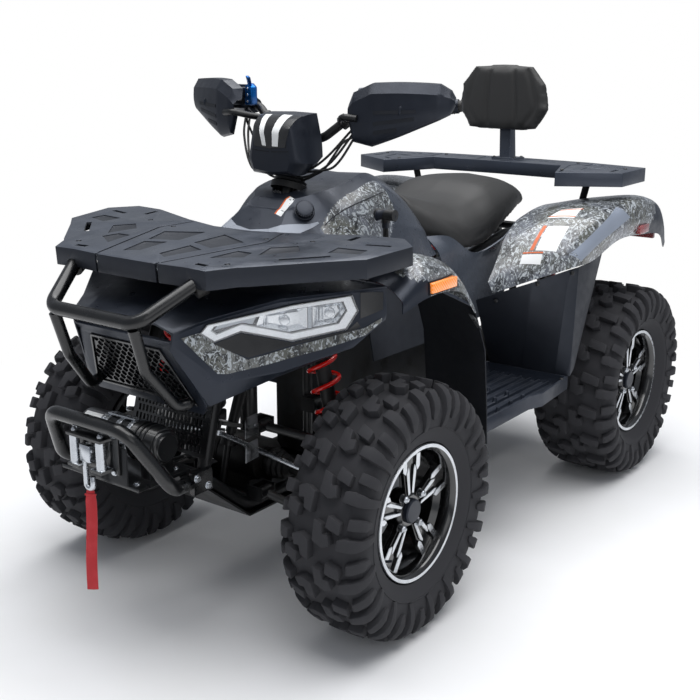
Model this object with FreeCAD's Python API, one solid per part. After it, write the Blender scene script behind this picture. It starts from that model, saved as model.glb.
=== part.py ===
import FreeCAD, Part
import math
import os
from FreeCAD import Vector

os.makedirs("parts", exist_ok=True)

# Driving sizes in millimetres. X is to the rider's left, Y to the rear, Z up.
# Wheels and stance
wheelbase = 1290.0
front_axle_y = -550.0
front_half_track = 445.0
rear_half_track = 419.0
tyre_radius = 308.0
front_tyre_width = 205.0
rear_tyre_width = 250.0
lug_height = 20.0
lugs_per_row = 18
sidewall_height = 142.0
bead_step = 14.0
front_rim_width = 164.0
rear_rim_width = 188.0
rim_wall = 5.0
hub_radius = 46.0
hub_length = 46.0
hub_setback = 26.0
spoke_depth = 20.0
spoke_bar = 6.0
spoke_spread = 34.0
spoke_groups = 5
spindle_radius = 15.0
running_fit = 0.05
seat_gap = 0.3

# Steering
steering_rake = 22.0
bar_clamp_y = -330.0
bar_clamp_z = 1120.0
pitman_z = 430.0
column_radius = 14.0
pitman_reach = 71.5
pitman_half_spread = 21.0
cup_drop = 25.0
kingpin_x = 385.0
kingpin_radius = 8.0
ball_spread = 112.0
ball_boss_radius = 20.0
ball_boss_height = 24.0
steer_arm_x = 405.0
steer_arm_y = -638.0
steer_arm_lift = 34.0
tie_pin_radius = 6.0
bar_radius = 11.0
clamp_front = 24.0
grip_radius = 17.0
grip_inner_x = 262.0
grip_outer_x = 392.0
grip_back = 113.0
grip_rise = 86.0
cable_radius = 3.0

# Frame
tube_radius = 16.0
rail_half_spread = 110.0
rail_z = 268.0
arm_inner_x = 142.0
arm_pivot_length = 44.0
shock_foot_x = 276.0
cross_radius = 13.0
rail_overhang = 175.0
rail_front_y = -915.0
rail_knee_y = -690.0
upper_arm_inner_z = 470.0
lower_arm_inner_z = 300.0
arm_half_base = 105.0
arm_tube_radius = 11.0
skid_thickness = 5.0
hitch_overhang = 225.0
engine_rear_y = 160.0
hitch_hole_radius = 9.5

# Bodywork
panel_wall = 4.0
column_hole_radius = 36.0
hook_z = 410.0
footwell_z = 385.0
footwell_height = 38.0
footwell_front_y = -170.0
footwell_gap = 440.0
deck_skirt = 42.0
front_deck_z = 900.0
rear_deck_z = 985.0
tank_base_z = 800.0
tank_drop = 120.0
drum_y = -955.0
roller_reach = 111.0

rear_axle_y = front_axle_y + wheelbase
axle_z = tyre_radius
flange_radius = tyre_radius - sidewall_height
bead_radius = flange_radius - bead_step
lower_ball_z = axle_z - ball_spread
upper_ball_z = axle_z + ball_spread
steer_arm_z = axle_z + steer_arm_lift
grip_y = bar_clamp_y + grip_back
grip_z = bar_clamp_z + grip_rise
rail_rear_y = rear_axle_y + rail_overhang
hitch_y = rear_axle_y + hitch_overhang
footwell_rear_y = rear_axle_y - footwell_gap
roller_y = drum_y - roller_reach


def vec(x, y, z):
    return Vector(x, y, z)


def mirrored(shape):
    return shape.mirror(vec(0, 0, 0), vec(1, 0, 0))


def both_sides(shapes):
    """The shapes and their copies across the centre plane."""
    return shapes + [mirrored(shape) for shape in shapes]


def export(name, shapes):
    """Write one node, as one solid or as a compound of separate solids."""
    shapes = shapes if isinstance(shapes, list) else [shapes]
    solids = [solid for shape in shapes for solid in shape.Solids]
    shape = solids[0] if len(solids) == 1 else Part.makeCompound(solids)
    shape.exportStep("parts/" + name + ".step")


def fused(shapes):
    whole = shapes[0]
    if len(shapes) > 1:
        whole = whole.multiFuse(shapes[1:])
    return whole.removeSplitter()


def welded(shapes):
    """The shapes fused one after another, which suits many tubes that cross."""
    whole = shapes[0]
    for shape in shapes[1:]:
        whole = whole.fuse(shape)
    return whole.removeSplitter()


def rounded_edges(points, radius, closed=False):
    """Straight runs joined by tangent arcs of one radius."""
    count = len(points)
    corners = range(count) if closed else range(1, count - 1)
    joints = {}
    for i in corners:
        corner = points[i]
        back = points[i - 1] - corner
        ahead = points[(i + 1) % count] - corner
        half = back.getAngle(ahead) / 2
        reach = min(radius / math.tan(half), 0.48 * back.Length, 0.48 * ahead.Length)
        arc_radius = reach * math.tan(half)
        start = corner + back.normalize() * reach
        end = corner + ahead.normalize() * reach
        bisector = ((start + end) * 0.5 - corner).normalize()
        middle = corner + bisector * (arc_radius / math.sin(half) - arc_radius)
        joints[i] = (start, middle, end)
    edges = []
    order = list(range(count))
    previous = joints[order[0]][2] if closed else points[0]
    first_start = joints[0][0] if closed else None
    for i in order[1:]:
        if i in joints:
            start, middle, end = joints[i]
            if (start - previous).Length > 0.01:
                edges.append(Part.LineSegment(previous, start).toShape())
            edges.append(Part.Arc(start, middle, end).toShape())
            previous = end
        else:
            edges.append(Part.LineSegment(previous, points[i]).toShape())
            previous = points[i]
    if closed:
        if (first_start - previous).Length > 0.01:
            edges.append(Part.LineSegment(previous, first_start).toShape())
        start, middle, end = joints[0]
        edges.append(Part.Arc(start, middle, end).toShape())
    return edges


def tube(points, radius, bend=60.0):
    """A round bar bent along the points."""
    path = Part.Wire(rounded_edges(points, bend))
    direction = (points[1] - points[0]).normalize()
    ring = Part.Wire(Part.makeCircle(radius, points[0], direction))
    return path.makePipeShell([ring], True, False)


def rod(start, end, radius):
    axis = end - start
    return Part.makeCylinder(radius, axis.Length, start, axis)


def ring(centre, axis, outer, inner, height):
    """A short collar centred on a point."""
    direction = vec(*axis)
    direction.normalize()
    base = centre - direction * (height / 2)
    return Part.makeCylinder(outer, height, base, direction).cut(
        Part.makeCylinder(inner, height + 2, base - direction, direction))


def box(low, high):
    return Part.makeBox(high[0] - low[0], high[1] - low[1], high[2] - low[2], vec(*low))


def prism(points, thickness, radius=0.0):
    """A closed outline pushed along a thickness vector, its corners rounded."""
    if radius:
        wire = Part.Wire(rounded_edges(points, radius, closed=True))
    else:
        wire = Part.makePolygon(points + [points[0]])
    return Part.Face(wire).extrude(thickness)


def deck(outline, top_z, depth, radius=6.0):
    return prism([vec(x, y, top_z - depth) for x, y in outline], vec(0, 0, depth), radius)


def offset_line(points, distance):
    """The open line moved sideways, with mitred corners."""
    moved = []
    count = len(points)
    for i, (a, b) in enumerate(points):
        before = points[max(i - 1, 0)]
        after = points[min(i + 1, count - 1)]
        first = vec(a - before[0], b - before[1], 0) if i else None
        second = vec(after[0] - a, after[1] - b, 0) if i < count - 1 else None
        first = first or second
        second = second or first
        first.normalize()
        second.normalize()
        normal = vec(-first.y - second.y, first.x + second.x, 0)
        normal.normalize()
        stretch = distance / max(0.3, normal.x * -first.y + normal.y * first.x)
        moved.append((a + normal.x * stretch, b + normal.y * stretch))
    return moved


def panel(stations, wall=panel_wall, smooth=False):
    """A sheet lofted through open lines of (x, z) points, one line at each y."""
    wires = []
    for y, line in stations:
        inner = offset_line(line, wall)
        loop = [vec(x, y, z) for x, z in line + inner[::-1]]
        wires.append(Part.makePolygon(loop + [loop[0]]))
    return Part.makeLoft(wires, True, not smooth)


def hull_loft(stations, ruled=True):
    """A closed body lofted through closed outlines of (x, z) points."""
    wires = []
    for y, outline in stations:
        loop = [vec(x, y, z) for x, z in outline]
        wires.append(Part.makePolygon(loop + [loop[0]]))
    return Part.makeLoft(wires, True, ruled)


def symmetric(half):
    """A closed outline from its left half, read from the top centre down."""
    return half + [(-x, z) for x, z in half[::-1] if x > 0]


# Wheels
def tyre(width, rim_width):
    """A tyre about the X axis at the origin, with two rows of staggered lugs."""
    carcass_radius = tyre_radius - lug_height
    half = width / 2
    bead = rim_width / 2 - 12.0 - seat_gap
    wall = carcass_radius - flange_radius
    profile = [(bead, bead_radius + seat_gap), (bead, flange_radius + seat_gap),
               (bead + 10, flange_radius + 4),
               (half - 6, flange_radius + 0.34 * wall), (half - 2, carcass_radius - 0.38 * wall),
               (half - 14, carcass_radius - 14), (half - 40, carcass_radius)]
    loop = profile + [(-x, r) for x, r in profile[::-1]]
    points = [vec(x, 0, r) for x, r in loop]
    face = Part.Face(Part.makePolygon(points + [points[0]]))
    carcass = face.revolve(vec(0, 0, 0), vec(1, 0, 0), 360)
    pitch = 360.0 / lugs_per_row
    block = [(5, -20), (34, -27), (58, -12), (half - 8, -16), (half - 8, 14),
             (60, 20), (36, 6), (5, 12)]
    lugs = []
    for side in (1, -1):
        outline = [vec(side * x, s, carcass_radius - 8) for x, s in block]
        top = prism(outline, vec(0, 0, lug_height + 8))
        shoulder = [vec(side * (half - 42), 0, tyre_radius - 2),
                    vec(side * (half - 8), 0, tyre_radius - 10),
                    vec(side * half, 0, tyre_radius - 34),
                    vec(side * half, 0, carcass_radius - 50),
                    vec(side * (half - 14), 0, carcass_radius - 44)]
        wrap = prism([p + vec(0, -15, 0) for p in shoulder], vec(0, 28, 0))
        lug = top.cut(box((side * (half - 9) if side > 0 else -half - 60, -60, 0),
                          (half + 60 if side > 0 else -half + 9, 60, tyre_radius + 5)))
        lug = lug.fuse(wrap)
        for index in range(lugs_per_row):
            angle = pitch * (index + (0.5 if side > 0 else 0.0))
            lugs.append(lug.copy().rotate(vec(0, 0, 0), vec(1, 0, 0), angle))
    return fused([carcass] + lugs)


def rim(rim_width):
    """A rim about the X axis at the origin, its face towards +X."""
    half = rim_width / 2
    outer = [(half, flange_radius), (half - 9, flange_radius), (half - 12, bead_radius),
             (half - 34, bead_radius - 3), (half - 50, bead_radius - 14),
             (40 - half, bead_radius - 14), (28 - half, bead_radius - 3),
             (12 - half, bead_radius), (9 - half, flange_radius), (-half, flange_radius)]
    inner = [(-half, flange_radius - rim_wall), (4 - half, bead_radius - rim_wall),
             (30 - half, bead_radius - 3 - rim_wall), (42 - half, bead_radius - 14 - rim_wall),
             (half - 50, bead_radius - 14 - rim_wall), (half - 36, bead_radius - 3 - rim_wall),
             (half - 5, bead_radius - rim_wall), (half, flange_radius - rim_wall)]
    points = [vec(x, 0, r) for x, r in outer + inner]
    barrel = Part.Face(Part.makePolygon(points + [points[0]])).revolve(
        vec(0, 0, 0), vec(1, 0, 0), 360)
    face_x = half - hub_setback
    hub = Part.makeCylinder(hub_radius, hub_length, vec(face_x - hub_length, 0, 0), vec(1, 0, 0))
    pieces = [barrel, hub]
    reach = bead_radius - 6.0
    for group in range(spoke_groups):
        angle = 360.0 / spoke_groups * group
        back = face_x - spoke_depth
        web = prism([vec(back, y, z) for y, z in (
            (-12, hub_radius - 16), (12, hub_radius - 16), (spoke_spread, reach),
            (-spoke_spread, reach))], vec(spoke_depth - spoke_bar, 0, 0))
        bars = []
        for side in (1, -1):
            for line in (((3.5, 44), (10.5, 40), (19.5, 96), (13.5, 112), (9.5, 104)),
                         ((18.5, 106), (23.5, 94), (33.5, 102), (35.5, reach), (21.5, reach))):
                bars.append(prism([vec(face_x - spoke_bar - 2, side * y, z) for y, z in line],
                                  vec(spoke_bar + 2, 0, 0)))
        for spoke in [web] + bars:
            pieces.append(spoke.rotate(vec(0, 0, 0), vec(1, 0, 0), angle))
    whole = fused(pieces)
    return whole.cut(Part.makeCylinder(
        spindle_radius + running_fit, hub_length - 8,
        vec(face_x - hub_length - 1, 0, 0), vec(1, 0, 0)))


def place_wheel(shape, side, half_track, axle_y):
    shape = shape if side > 0 else mirrored(shape)
    return shape.translated(vec(side * half_track, axle_y, axle_z))


front_tyre = tyre(front_tyre_width, front_rim_width)
rear_tyre = tyre(rear_tyre_width, rear_rim_width)
front_rim = rim(front_rim_width)
rear_rim = rim(rear_rim_width)
for side, word in ((1, "left"), (-1, "right")):
    export("tyre_front_" + word, place_wheel(front_tyre, side, front_half_track, front_axle_y))
    export("rim_front_" + word, place_wheel(front_rim, side, front_half_track, front_axle_y))
    export("tyre_rear_" + word, place_wheel(rear_tyre, side, rear_half_track, rear_axle_y))
    export("rim_rear_" + word, place_wheel(rear_rim, side, rear_half_track, rear_axle_y))


# Steering
rake = math.radians(steering_rake)
column_axis = vec(0, math.sin(rake), math.cos(rake))


def column_point(z):
    """The point of the steering column's centre line at one height."""
    return vec(0, bar_clamp_y + (z - bar_clamp_z) * math.tan(rake), z)


pitman_forward = vec(0, -math.cos(rake), math.sin(rake))
pitman_centre = column_point(pitman_z)
pitman_eye = pitman_centre + pitman_forward * pitman_reach
top_of_column = column_point(bar_clamp_z)


def knuckle():
    """The left front upright with its spindle, ball studs and steering arm."""
    body_low = lower_ball_z + ball_boss_height / 2 + 12
    body_high = upper_ball_z - ball_boss_height / 2 - 12
    outline = [(kingpin_x - 16, front_axle_y - 14, body_low),
               (kingpin_x - 16, front_axle_y - 26, axle_z - 34),
               (kingpin_x - 16, front_axle_y - 26, axle_z + 34),
               (kingpin_x - 16, front_axle_y - 14, body_high),
               (kingpin_x - 16, front_axle_y + 14, body_high),
               (kingpin_x - 16, front_axle_y + 26, axle_z + 34),
               (kingpin_x - 16, front_axle_y + 26, axle_z - 34),
               (kingpin_x - 16, front_axle_y + 14, body_low)]
    upright = prism([vec(*p) for p in outline], vec(32, 0, 0), 8)
    face_x = front_half_track + front_rim_width / 2 - hub_setback
    boss = rod(vec(kingpin_x, front_axle_y, axle_z),
               vec(face_x - hub_length - 5, front_axle_y, axle_z), 30)
    spindle = rod(vec(kingpin_x, front_axle_y, axle_z),
                  vec(face_x - 10, front_axle_y, axle_z), spindle_radius)
    studs = rod(vec(kingpin_x, front_axle_y, lower_ball_z - 8),
                vec(kingpin_x, front_axle_y, upper_ball_z + 8), kingpin_radius)
    arm = prism([vec(kingpin_x - 14, front_axle_y, steer_arm_z - 8),
                 vec(steer_arm_x - 13, steer_arm_y, steer_arm_z - 8),
                 vec(steer_arm_x, steer_arm_y - 13, steer_arm_z - 8),
                 vec(steer_arm_x + 13, steer_arm_y, steer_arm_z - 8),
                 vec(kingpin_x + 14, front_axle_y, steer_arm_z - 8)], vec(0, 0, 14), 4)
    pin = rod(vec(steer_arm_x, steer_arm_y, steer_arm_z - 4),
              vec(steer_arm_x, steer_arm_y, steer_arm_z + 27), tie_pin_radius)
    return fused([upright, boss, spindle, studs, arm, pin])


def tie_rod():
    """The left tie rod, with an eye on the steering arm and a cup near the pitman."""
    eye_z = steer_arm_z + 17
    outer = vec(steer_arm_x, steer_arm_y, eye_z)
    inner = pitman_eye + vec(pitman_half_spread, 0, 0) - column_axis * cup_drop
    eye = ring(outer, (0, 0, 1), 14, tie_pin_radius + running_fit, 16)
    cup = ring(inner, tuple(column_axis), 14.5, 12, 12)
    direction = (inner - outer).normalize()
    shank = rod(outer + direction * 12, inner - direction * 14, 6.5)
    sleeve = rod(outer + direction * 12, outer + direction * 62, 8)
    return fused([eye, cup, shank, sleeve])


export("knuckle_left", knuckle())
export("knuckle_right", mirrored(knuckle()))
export("tie_rod_left", tie_rod())
export("tie_rod_right", mirrored(tie_rod()))


def handlebar():
    """Column, pitman, clamp and bent bar as one welded and bolted piece."""
    bottom = pitman_centre - column_axis * 22
    column = rod(bottom, top_of_column, column_radius)
    pivot = rod(bottom - column_axis * 24, bottom, 10)
    eye = pitman_eye
    side = vec(1, 0, 0)
    plate_outline = [pitman_centre - side * 22 - pitman_forward * 18,
                     eye - side * (pitman_half_spread + 12) + pitman_forward * 10,
                     eye + side * (pitman_half_spread + 12) + pitman_forward * 10,
                     pitman_centre + side * 22 - pitman_forward * 18]
    plate = prism([p - column_axis * 5 for p in plate_outline], column_axis * 10, 10)
    studs = [rod(eye + side * (s * pitman_half_spread),
                 eye + side * (s * pitman_half_spread) - column_axis * (cup_drop + 8), 4.5)
             for s in (1, -1)]
    clamp = box((-36, bar_clamp_y - clamp_front, bar_clamp_z - 18), (36, bar_clamp_y + 22, bar_clamp_z + 20))
    half = [vec(0, bar_clamp_y, bar_clamp_z), vec(70, bar_clamp_y, bar_clamp_z),
            vec(160, bar_clamp_y + 30, grip_z - 14), vec(grip_outer_x - 4, grip_y, grip_z)]
    left = tube(half, bar_radius, 60)
    return fused([column, pivot, plate, clamp, left, mirrored(left)] + studs)


def along_grip(x):
    """A point of the left grip's centre line."""
    start = vec(160, bar_clamp_y + 30, grip_z - 14)
    end = vec(grip_outer_x - 4, grip_y, grip_z)
    return start + (end - start) * ((x - start.x) / (end.x - start.x))


gland_run = vec(-0.45, -0.5, -0.74).normalize()
gland_end = along_grip(232) + gland_run * 36


def hand_controls():
    """Grips, switch box, thumb throttle box and brake levers."""
    direction = along_grip(300) - along_grip(200)
    direction.normalize()
    bore = rod(along_grip(160), along_grip(grip_outer_x - 4), 11 + seat_gap)
    grip = rod(along_grip(grip_inner_x), along_grip(grip_outer_x + 3), grip_radius).cut(bore)
    housing = rod(along_grip(206), along_grip(254), 25).cut(bore)
    clamp = rod(along_grip(184), along_grip(202), 19).cut(bore)
    lever_line = [along_grip(192) + vec(0, -18, 0), along_grip(210) + vec(0, -36, -4),
                  along_grip(250) + vec(0, -42, -8), along_grip(372) + vec(0, -38, -6)]
    lever = fused([clamp, tube(lever_line, 6.5, 22)])
    gland = rod(along_grip(232), gland_end, 5).cut(bore)
    left = [grip, housing.fuse(gland), lever]
    return both_sides(left)


def control_cable():
    """The left control cable, from its box round the pod and down the column."""
    beside = column_radius + cable_radius + seat_gap
    down = column_point(bar_clamp_z - 180)
    turn = column_point(bar_clamp_z - 108)
    clamp = vec(0, bar_clamp_y, bar_clamp_z)
    route = [gland_end, gland_end + gland_run * 24, clamp + vec(146, -15, -2),
             clamp + vec(112, -46, -70), clamp + vec(62, -48, -94), turn + vec(beside, 0, 0),
             down + vec(beside, 0, 0)]
    return tube(route, cable_radius, 40)


def instrument_pod():
    """The headlamp-shaped pod over the bar clamp, as sections about the clamp."""
    back_y = bar_clamp_y - clamp_front - seat_gap
    sections = [
        (bar_clamp_y - 122, [(0, 26), (50, 24), (60, -10), (66, -45), (58, -74), (0, -78)]),
        (bar_clamp_y - 95, [(0, 52), (70, 50), (82, -8), (90, -54), (72, -84), (0, -88)]),
        (bar_clamp_y - 60, [(0, 64), (84, 62), (92, -4), (96, -52), (74, -76), (0, -80)]),
        (back_y, [(0, 68), (88, 66), (92, -2), (90, -40), (66, -64), (0, -68)])]
    stations = [(y, symmetric([(x, bar_clamp_z + z) for x, z in half])) for y, half in sections]
    return hull_loft(stations).cut(
        rod(column_point(bar_clamp_z - 120), top_of_column, column_radius + 1))


def hand_guard():
    """The left moulded guard, held by an arm clamped round the bar."""
    sweep = 23.0
    inner = vec(70, bar_clamp_y, bar_clamp_z)
    outer = vec(160, bar_clamp_y + 30, grip_z - 14)
    middle = inner + (outer - inner) * 0.62
    run = outer - inner
    blade = [(-64, -6), (-48, -89), (0, -95), (192, -16), (198, 20), (165, 56), (0, 57),
             (-50, 32)]
    sheet = prism([vec(u, -6, z) for u, z in blade], vec(0, 12, 0), 10)
    top = prism([vec(u, v, 45) for u, v in ((-30, -6), (-20, 40), (140, 52), (168, -6))],
                vec(0, 0, 11.9), 8)
    guard = fused([sheet, top])
    guard.rotate(vec(0, 0, 0), vec(0, 0, 1), sweep)
    guard = guard.translated(vec(247, bar_clamp_y - 38, grip_z))
    collar = ring(middle, (run.x, run.y, run.z), 18, bar_radius + seat_gap, 22)
    arm = rod(middle + vec(0, -20, 0), vec(196, bar_clamp_y - 60, grip_z - 30), 9)
    return fused([guard, collar, arm])


export("handlebar", handlebar())
export("hand_controls", hand_controls())
export("instrument_pod", instrument_pod())
export("hand_guards", both_sides([hand_guard()]))
export("control_cables", both_sides([control_cable()]))

# Shock absorber ends, on the left
foot_share = (kingpin_x - shock_foot_x) / (kingpin_x - arm_inner_x)
shock_foot_z = upper_ball_z + (upper_arm_inner_z - upper_ball_z) * foot_share
shock_foot_half = arm_half_base * foot_share
front_shock_low = vec(shock_foot_x, front_axle_y, shock_foot_z + 9 + 14 + seat_gap)
front_shock_high = vec(200, front_axle_y, 786)
rear_shock_low = vec(236, rear_axle_y - 60, 472)
rear_shock_high = vec(186, rear_axle_y - 100, 760)


# Frame and drivetrain
def bent_rail():
    """The left lower rail, swept up at the nose."""
    x = rail_half_spread
    return tube([vec(x, rail_rear_y, rail_z), vec(x, rail_knee_y, rail_z), vec(x, -850, 400),
                 vec(x, rail_front_y, 405)], tube_radius, 90)


upper_line = [(rear_axle_y + 185, 760), (rear_axle_y - 180, 770), (120, 690), (-300, 700),
              (-560, 740), (-740, 720)]


def upper_tube():
    """The left upper tube, from the tail over the engine to the nose."""
    x = rail_half_spread
    return tube([vec(x, rail_rear_y - 20, rail_z)] + [vec(x, y, z) for y, z in upper_line]
                + [vec(x, -830, 390)], tube_radius, 70)


def upper_tube_z(y):
    """The height of the upper tube's centre line at one Y."""
    for (y1, z1), (y0, z0) in zip(upper_line, upper_line[1:]):
        if y0 <= y <= y1:
            return z0 + (z1 - z0) * (y - y0) / (y1 - y0)


def tube_foot(y, top_z, radius=10.0):
    """A rubber foot under the bodywork that stands on the left upper tube."""
    low = max(upper_tube_z(y - radius), upper_tube_z(y + radius)) + tube_radius + 3 * seat_gap
    return rod(vec(rail_half_spread, y, low), vec(rail_half_spread, y, top_z), radius)


def cross_tube(y, z):
    return rod(vec(-rail_half_spread, y, z), vec(rail_half_spread, y, z), cross_radius)


def upright(y, low, high):
    return rod(vec(rail_half_spread, y, low), vec(rail_half_spread, y, high), 12)


def pivot_bracket(y, z):
    """A channel that holds one inner pivot of a suspension arm."""
    x = rail_half_spread
    half = arm_pivot_length / 2 + seat_gap
    channel = box((x, y - half - 5, z - 18), (arm_inner_x + 12, y + half + 5, z + 18))
    return channel.cut(box((x + 12, y - half, z - 20), (arm_inner_x + 13, y + half, z + 20)))


def peg_bar(y):
    """A bar that carries the left footwell from the lower rail."""
    under_floor = footwell_z - 12 - seat_gap
    return tube([vec(rail_half_spread, y, rail_z), vec(230, y, under_floor),
                 vec(440, y, under_floor)], 12, 40)


stay_z = rear_deck_z - 5 - 11 - seat_gap
stay_x = rail_half_spread + tube_radius + 8
stay_line = [vec(stay_x, rear_axle_y + 60, 764), vec(stay_x, rear_axle_y - 20, 766),
             vec(300, rear_axle_y - 35, 850), vec(330, rear_axle_y - 40, stay_z),
             vec(330, rear_axle_y - 150, stay_z)]
rack_stay = tube(stay_line, 11, 30)
brackets = [pivot_bracket(axle + s * arm_half_base, z)
            for axle in (front_axle_y, rear_axle_y) for s in (1, -1)
            for z in (lower_arm_inner_z, upper_arm_inner_z)]
bearing_low = rod(pitman_centre - column_axis * 54, pitman_centre - column_axis * 27, 20)
bearing_strut = rod(vec(0, front_axle_y - arm_half_base, rail_z),
                    pitman_centre - column_axis * 51, 9)
bearing_high = ring(column_point(700), tuple(column_axis), 24, 4, 30)
bearing_arms = both_sides([rod(vec(16, column_point(700).y, 700),
                               vec(rail_half_spread, column_point(700).y, 724), 9)])
tubes = welded(
    [bent_rail(), mirrored(bent_rail()), upper_tube(), mirrored(upper_tube())]
    + [cross_tube(y, z) for y, z in ((-850, 400), (front_axle_y - arm_half_base, rail_z),
                                     (front_axle_y + arm_half_base, rail_z),
                                     (engine_rear_y + 20, rail_z),
                                     (rear_axle_y - arm_half_base, rail_z),
                                     (rear_axle_y + arm_half_base, rail_z), (-700, 724),
                                     (-430, 720), (rear_axle_y + 20, 765))]
    + both_sides([upright(front_axle_y + arm_half_base, rail_z, 716),
                  upright(front_axle_y - arm_half_base, upper_arm_inner_z - 18, 726),
                  upright(front_axle_y - arm_half_base, rail_z, lower_arm_inner_z + 18),
                  upright(rear_axle_y - arm_half_base, rail_z, 766),
                  upright(rear_axle_y + arm_half_base, rail_z, 760)])
    + both_sides([peg_bar(footwell_front_y + 110), peg_bar(footwell_rear_y - 80), rack_stay])
    + [rod(vec(-214, y, z), vec(214, y, z), 12) for y, z in (
        (front_axle_y, front_shock_high.z + 26 + seat_gap),
        (rear_shock_high.y, rear_shock_high.z + 26 + seat_gap))]
    + both_sides([upright(front_axle_y, 742, front_shock_high.z + 26)])
    + both_sides(brackets) + [bearing_low, bearing_strut, bearing_high] + bearing_arms)
tongue = box((-32, rear_axle_y + 90, rail_z - 4), (32, hitch_y + 30, rail_z + 4))
tubes = tubes.fuse(tongue).cut(rod(vec(0, hitch_y, rail_z - 10), vec(0, hitch_y, rail_z + 10),
                                   hitch_hole_radius))
tubes = tubes.cut(rod(pitman_centre - column_axis * 47, pitman_centre, 10 + running_fit))
tubes = tubes.cut(rod(column_point(660), column_point(740), column_radius + running_fit))
export("frame", tubes)

slope = (vec(0, -850, 400) - vec(0, rail_knee_y, rail_z)).normalize()
drop = vec(0, slope.z, -slope.y) * -(tube_radius + seat_gap)
flat_z = rail_z - tube_radius - seat_gap
knee = vec(0, rail_knee_y, rail_z) + drop + slope * ((flat_z - rail_z - drop.z) / slope.z)
toe = knee + slope * 190
under = vec(0, slope.z, -slope.y) * -skid_thickness
export("skid_plate", prism([vec(-132, p.y, p.z) for p in (
    vec(0, rear_axle_y + 130, flat_z), knee, toe, toe + under,
    vec(0, knee.y + under.y / 2, flat_z - skid_thickness),
    vec(0, rear_axle_y + 130, flat_z - skid_thickness))], vec(264, 0, 0)))
engine_half = rail_half_spread - tube_radius - seat_gap
export("engine", box((-engine_half, -330, rail_z), (engine_half, engine_rear_y, 650)))
drive_z = axle_z + 22
front_drive = rod(vec(-62, front_axle_y, drive_z), vec(62, front_axle_y, drive_z), 56)
rear_drive = rod(vec(-66, rear_axle_y, drive_z), vec(66, rear_axle_y, drive_z), 72)
drive_feet = [box((-40, axle - 40, flat_z + seat_gap), (40, axle + 40, 290))
              for axle in (front_axle_y, rear_axle_y)]
drives = [front_drive.fuse(drive_feet[0]), rear_drive.fuse(drive_feet[1])]


def half_shaft(side_x, axle_y, outer_x, outer_z):
    start = vec(side_x + seat_gap, axle_y, drive_z)
    end = vec(outer_x, axle_y, outer_z)
    run = end - start
    direction = vec(run.x, run.y, run.z).normalize()
    pieces = [rod(start, start + vec(10, 0, 0), 34), rod(start + vec(9, 0, 0), start + direction * 22, 30)]
    boot = [(18, 38), (30, 40), (36, 34), (44, 36), (50, 30), (58, 32), (64, 26), (72, 27), (80, 15)]
    pieces.append(rod(start + vec(9, 0, 0), end, 13))
    outline = [vec(0, 0, 18)] + [vec(r, 0, d) for d, r in boot] + [vec(0, 0, 80)]
    face = Part.Face(Part.makePolygon(outline + [outline[0]]))
    bellows = face.revolve(vec(0, 0, 0), vec(0, 0, 1), 360)
    turn = FreeCAD.Rotation(vec(0, 0, 1), direction)
    bellows.Placement = FreeCAD.Placement(start, turn)
    pieces.append(bellows)
    return fused(pieces)


front_shaft = fused([half_shaft(62, front_axle_y, 342, axle_z + 2),
                     rod(vec(326, front_axle_y, axle_z), vec(350, front_axle_y, axle_z), 28)])
export("driveline", drives + both_sides([front_shaft, half_shaft(66, rear_axle_y, 342, axle_z + 2)]))


def arm_pivot(foot):
    half = vec(0, arm_pivot_length / 2, 0)
    return rod(foot - half, foot + half, 15)


def wishbone(axle_y, inner_z, ball_x, ball_z, inner_x=arm_inner_x):
    """A left A-arm with pivot tubes at the frame and a boss at the ball joint."""
    tip = vec(ball_x, axle_y, ball_z)
    boss = ring(tip, (0, 0, 1), ball_boss_radius, kingpin_radius + running_fit, ball_boss_height)
    legs = []
    for s in (1, -1):
        foot = vec(inner_x, axle_y + s * arm_half_base, inner_z)
        run = (foot - tip).normalize()
        legs.append(rod(tip + run * 14, foot, arm_tube_radius))
        legs.append(arm_pivot(foot))
    return fused([boss] + legs)


def rear_carrier():
    """The left rear upright with its spindle, between the rear arms."""
    x = rear_half_track - 60
    face_x = rear_half_track + rear_rim_width / 2 - hub_setback
    body = box((x - 16, rear_axle_y - 26, lower_ball_z - 10), (x + 16, rear_axle_y + 26, upper_ball_z))
    boss = rod(vec(x, rear_axle_y, axle_z), vec(face_x - hub_length - 5, rear_axle_y, axle_z), 32)
    spindle = rod(vec(x, rear_axle_y, axle_z), vec(face_x - 10, rear_axle_y, axle_z),
                  spindle_radius)
    tip_low = vec(x, rear_axle_y, lower_ball_z)
    tip_high = vec(x, rear_axle_y, upper_ball_z - 8)
    legs = []
    for tip, inner_z in ((tip_low, lower_arm_inner_z), (tip_high, upper_arm_inner_z)):
        for s in (1, -1):
            foot = vec(arm_inner_x, rear_axle_y + s * arm_half_base, inner_z)
            legs.append(rod(tip, foot, arm_tube_radius))
            legs.append(arm_pivot(foot))
    return fused([body, boss, spindle] + legs)


shock_cross = rod(vec(shock_foot_x, front_axle_y - shock_foot_half, shock_foot_z),
                  vec(shock_foot_x, front_axle_y + shock_foot_half, shock_foot_z), 9)
export("suspension_arms", both_sides([
    fused([wishbone(front_axle_y, upper_arm_inner_z, kingpin_x, upper_ball_z), shock_cross]),
    wishbone(front_axle_y, lower_arm_inner_z, kingpin_x, lower_ball_z),
    rear_carrier()]))

# Shock absorbers
def damper(low, high):
    direction = (high - low).normalize()
    return fused([rod(low - vec(0, 16, 0), low + vec(0, 16, 0), 14),
                  rod(high - vec(0, 16, 0), high + vec(0, 16, 0), 14),
                  rod(low, high, 9), rod(low + direction * 18, low + direction * 30, 36),
                  rod(high - direction * 150, high - direction * 20, 24),
                  rod(high - direction * 32, high - direction * 20, 36)])


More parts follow.
